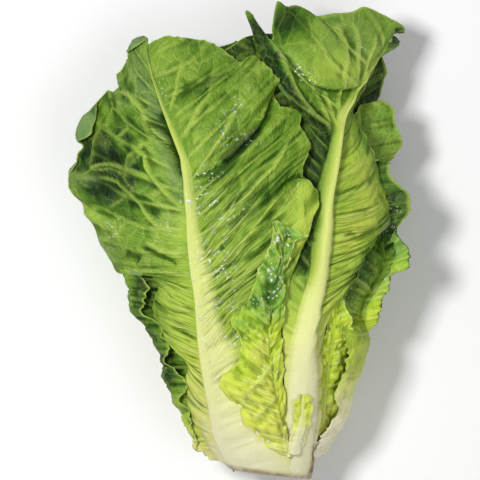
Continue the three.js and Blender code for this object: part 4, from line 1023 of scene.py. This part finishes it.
# The other leaves that the head lies on: angle, base, tip, half width in degrees, their layer along the head, seed.
UNDER = {
    "left": (232, -116, 96, 52, [[-116, 0.7], [-96, 0.74], [-80, 0.8], [-50, 0.84], [100, 0.84]], 79),
    "outer": (160, -118, 104, 40, [[-118, 0.78], [-90, 0.82], [-50, 0.88], [-20, 0.9], [100, 0.91]], 83),
    "right": (136, -114, 92, 54, [[-114, 0.66], [-90, 0.61], [-60, 0.58], [-20, 0.6], [100, 0.62]], 89),
}
for side, (*shape, seed) in UNDER.items():
    wrapped(f"under_leaf_{side}", GREEN, *shape, seed=seed, grid=(90, 60))

# The leaves of the heart, set round it at turns of 137 degrees: angle, base, tip, layer.
HEART = [(330, -96, 84, 0.56), (193, -92, 78, 0.48), (56, -88, 72, 0.4), (278, -84, 64, 0.31), (141, -80, 54, 0.22),
         (4, -76, 44, 0.13)]
HEART_WIDE = 92  # half width in degrees
for count, (turn, base, tip, outside) in enumerate(HEART, 1):
    layer = [[base, outside * 0.8], [-50, outside], [100, outside]]
    wrapped(f"heart_leaf_{count}", SMOOTH, turn, base, tip, HEART_WIDE, layer, seed=90 + count, grid=(50, 40),
            thick=2, ruffle=1.5)


# ---- the cut stem

STEM_BASE, STEM_LENGTH = -129, 48
STEM_TAPER = [[0, 0.66], [0.12, 0.62], [0.4, 0.42], [0.8, 0.16], [1, 0.05]]  # place along it, layer of its outside
CUT_SUNK, CUT_DISHED = 0.3, 0.6  # the cut face sinks at its middle and rises towards its rim


def stem_material():
    m = Nodes("cut_stem")
    stain = m.hills(90, 4, 0.6)
    flesh = m.mix(m.step(stain, 0.4, 0.7), colour(214, 200, 160), colour(176, 150, 108))
    m.put(flesh, m.skin.inputs["Base Color"])
    m.put(m.scaled(stain, 0.3, 0.4), m.skin.inputs["Roughness"])
    bumps = m.add("ShaderNodeBump", {"Strength": 0.4, "Distance": 0.0008, "Height": m.hills(400, 3)})
    m.put(bumps.outputs[0], m.skin.inputs["Normal"])
    return m.material


def stem():
    """The short stem: a cylinder, subdivided and drawn to a taper that follows the head, dished at the cut."""
    bpy.ops.object.select_all(action="DESELECT")
    bpy.ops.mesh.primitive_cylinder_add(vertices=64, radius=1, depth=1, end_fill_type="TRIFAN")
    core = bpy.context.object
    core.name = core.data.name = "stem_core"
    bpy.ops.object.mode_set(mode="EDIT")
    bpy.ops.mesh.select_all(action="SELECT")
    bpy.ops.mesh.subdivide(number_cuts=6)
    bpy.ops.object.mode_set(mode="OBJECT")
    for vertex in core.data.vertices:
        along = vertex.co.z + 0.5
        across = math.hypot(vertex.co.x, vertex.co.y)
        angle = math.degrees(math.atan2(vertex.co.x, vertex.co.y))
        y = STEM_BASE + STEM_LENGTH * along
        point = head_point(np.array(angle), np.array(y), float(smooth(STEM_TAPER, along, 1)) * across)
        if along < 0.02:
            point[1] = CUT_Y - CUT_SLANT * point[0] - CUT_SUNK + CUT_DISHED * across
        vertex.co = Vector(to_world(point))
    bpy.ops.object.mode_set(mode="EDIT")
    bpy.ops.mesh.select_all(action="SELECT")
    bpy.ops.mesh.normals_make_consistent(inside=False)
    bpy.ops.object.mode_set(mode="OBJECT")
    bpy.ops.object.shade_smooth_by_angle(angle=math.radians(40))
    core.data.materials.append(stem_material())
    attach(core, "root")
    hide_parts("stem_core")


stem()


# ---- floor, light and camera, in metres

FLOOR_SIZE, FLOOR_BELOW = 6, 0.0002  # the floor lies a hair below the head
FLOOR_GREYS = (0.86, 0.86, 0.86, 1), (0.9, 0.9, 0.9, 1)
LENS, SENSOR = 220, 36  # millimetres
FIELD = 0.264  # width that the camera sees
ASIDE = (-0.0019, 0.0015)  # how far the camera stands from the middle of the head


def floor():
    bpy.ops.object.select_all(action="DESELECT")
    bpy.ops.mesh.primitive_plane_add(size=FLOOR_SIZE, location=(0, 0, low[2] - FLOOR_BELOW))
    ground = bpy.context.object
    ground.name = "floor"
    m = Nodes("floor")
    m.put(m.mix(m.hills(3, 2), *FLOOR_GREYS), m.skin.inputs["Base Color"])
    m.put(0.9, m.skin.inputs["Roughness"])
    ground.data.materials.append(m.material)


def light(name, place, size, watts, aim):
    bpy.ops.object.light_add(type="AREA", location=place)
    lamp = bpy.context.object
    lamp.name = name
    lamp.data.size = size
    lamp.data.energy = watts
    lamp.rotation_euler = (Vector(aim) - Vector(place)).to_track_quat("-Z", "Y").to_euler()


floor()
centre = (Vector(low) + Vector(high)) / 2
light("key_light", place=(-0.42, 0.2, 1.0), size=0.22, watts=9.4, aim=centre)
light("fill_light", place=(0.6, -0.5, 1.2), size=1.2, watts=6.8, aim=centre)

world = bpy.data.worlds.new("studio")
world.use_nodes = True
sky = world.node_tree.nodes["Background"].inputs
sky["Color"].default_value = (1, 1, 1, 1)
sky["Strength"].default_value = 0.25
bpy.context.scene.world = world

eye = (centre.x + ASIDE[0], centre.y + ASIDE[1], centre.z + FIELD * LENS / SENSOR)
bpy.ops.object.camera_add(location=eye, rotation=(0, 0, 0))
camera = bpy.context.object
camera.data.lens = LENS
camera.data.sensor_width = SENSOR
bpy.context.scene.camera = camera
bpy.context.scene.view_settings.view_transform = "Standard"
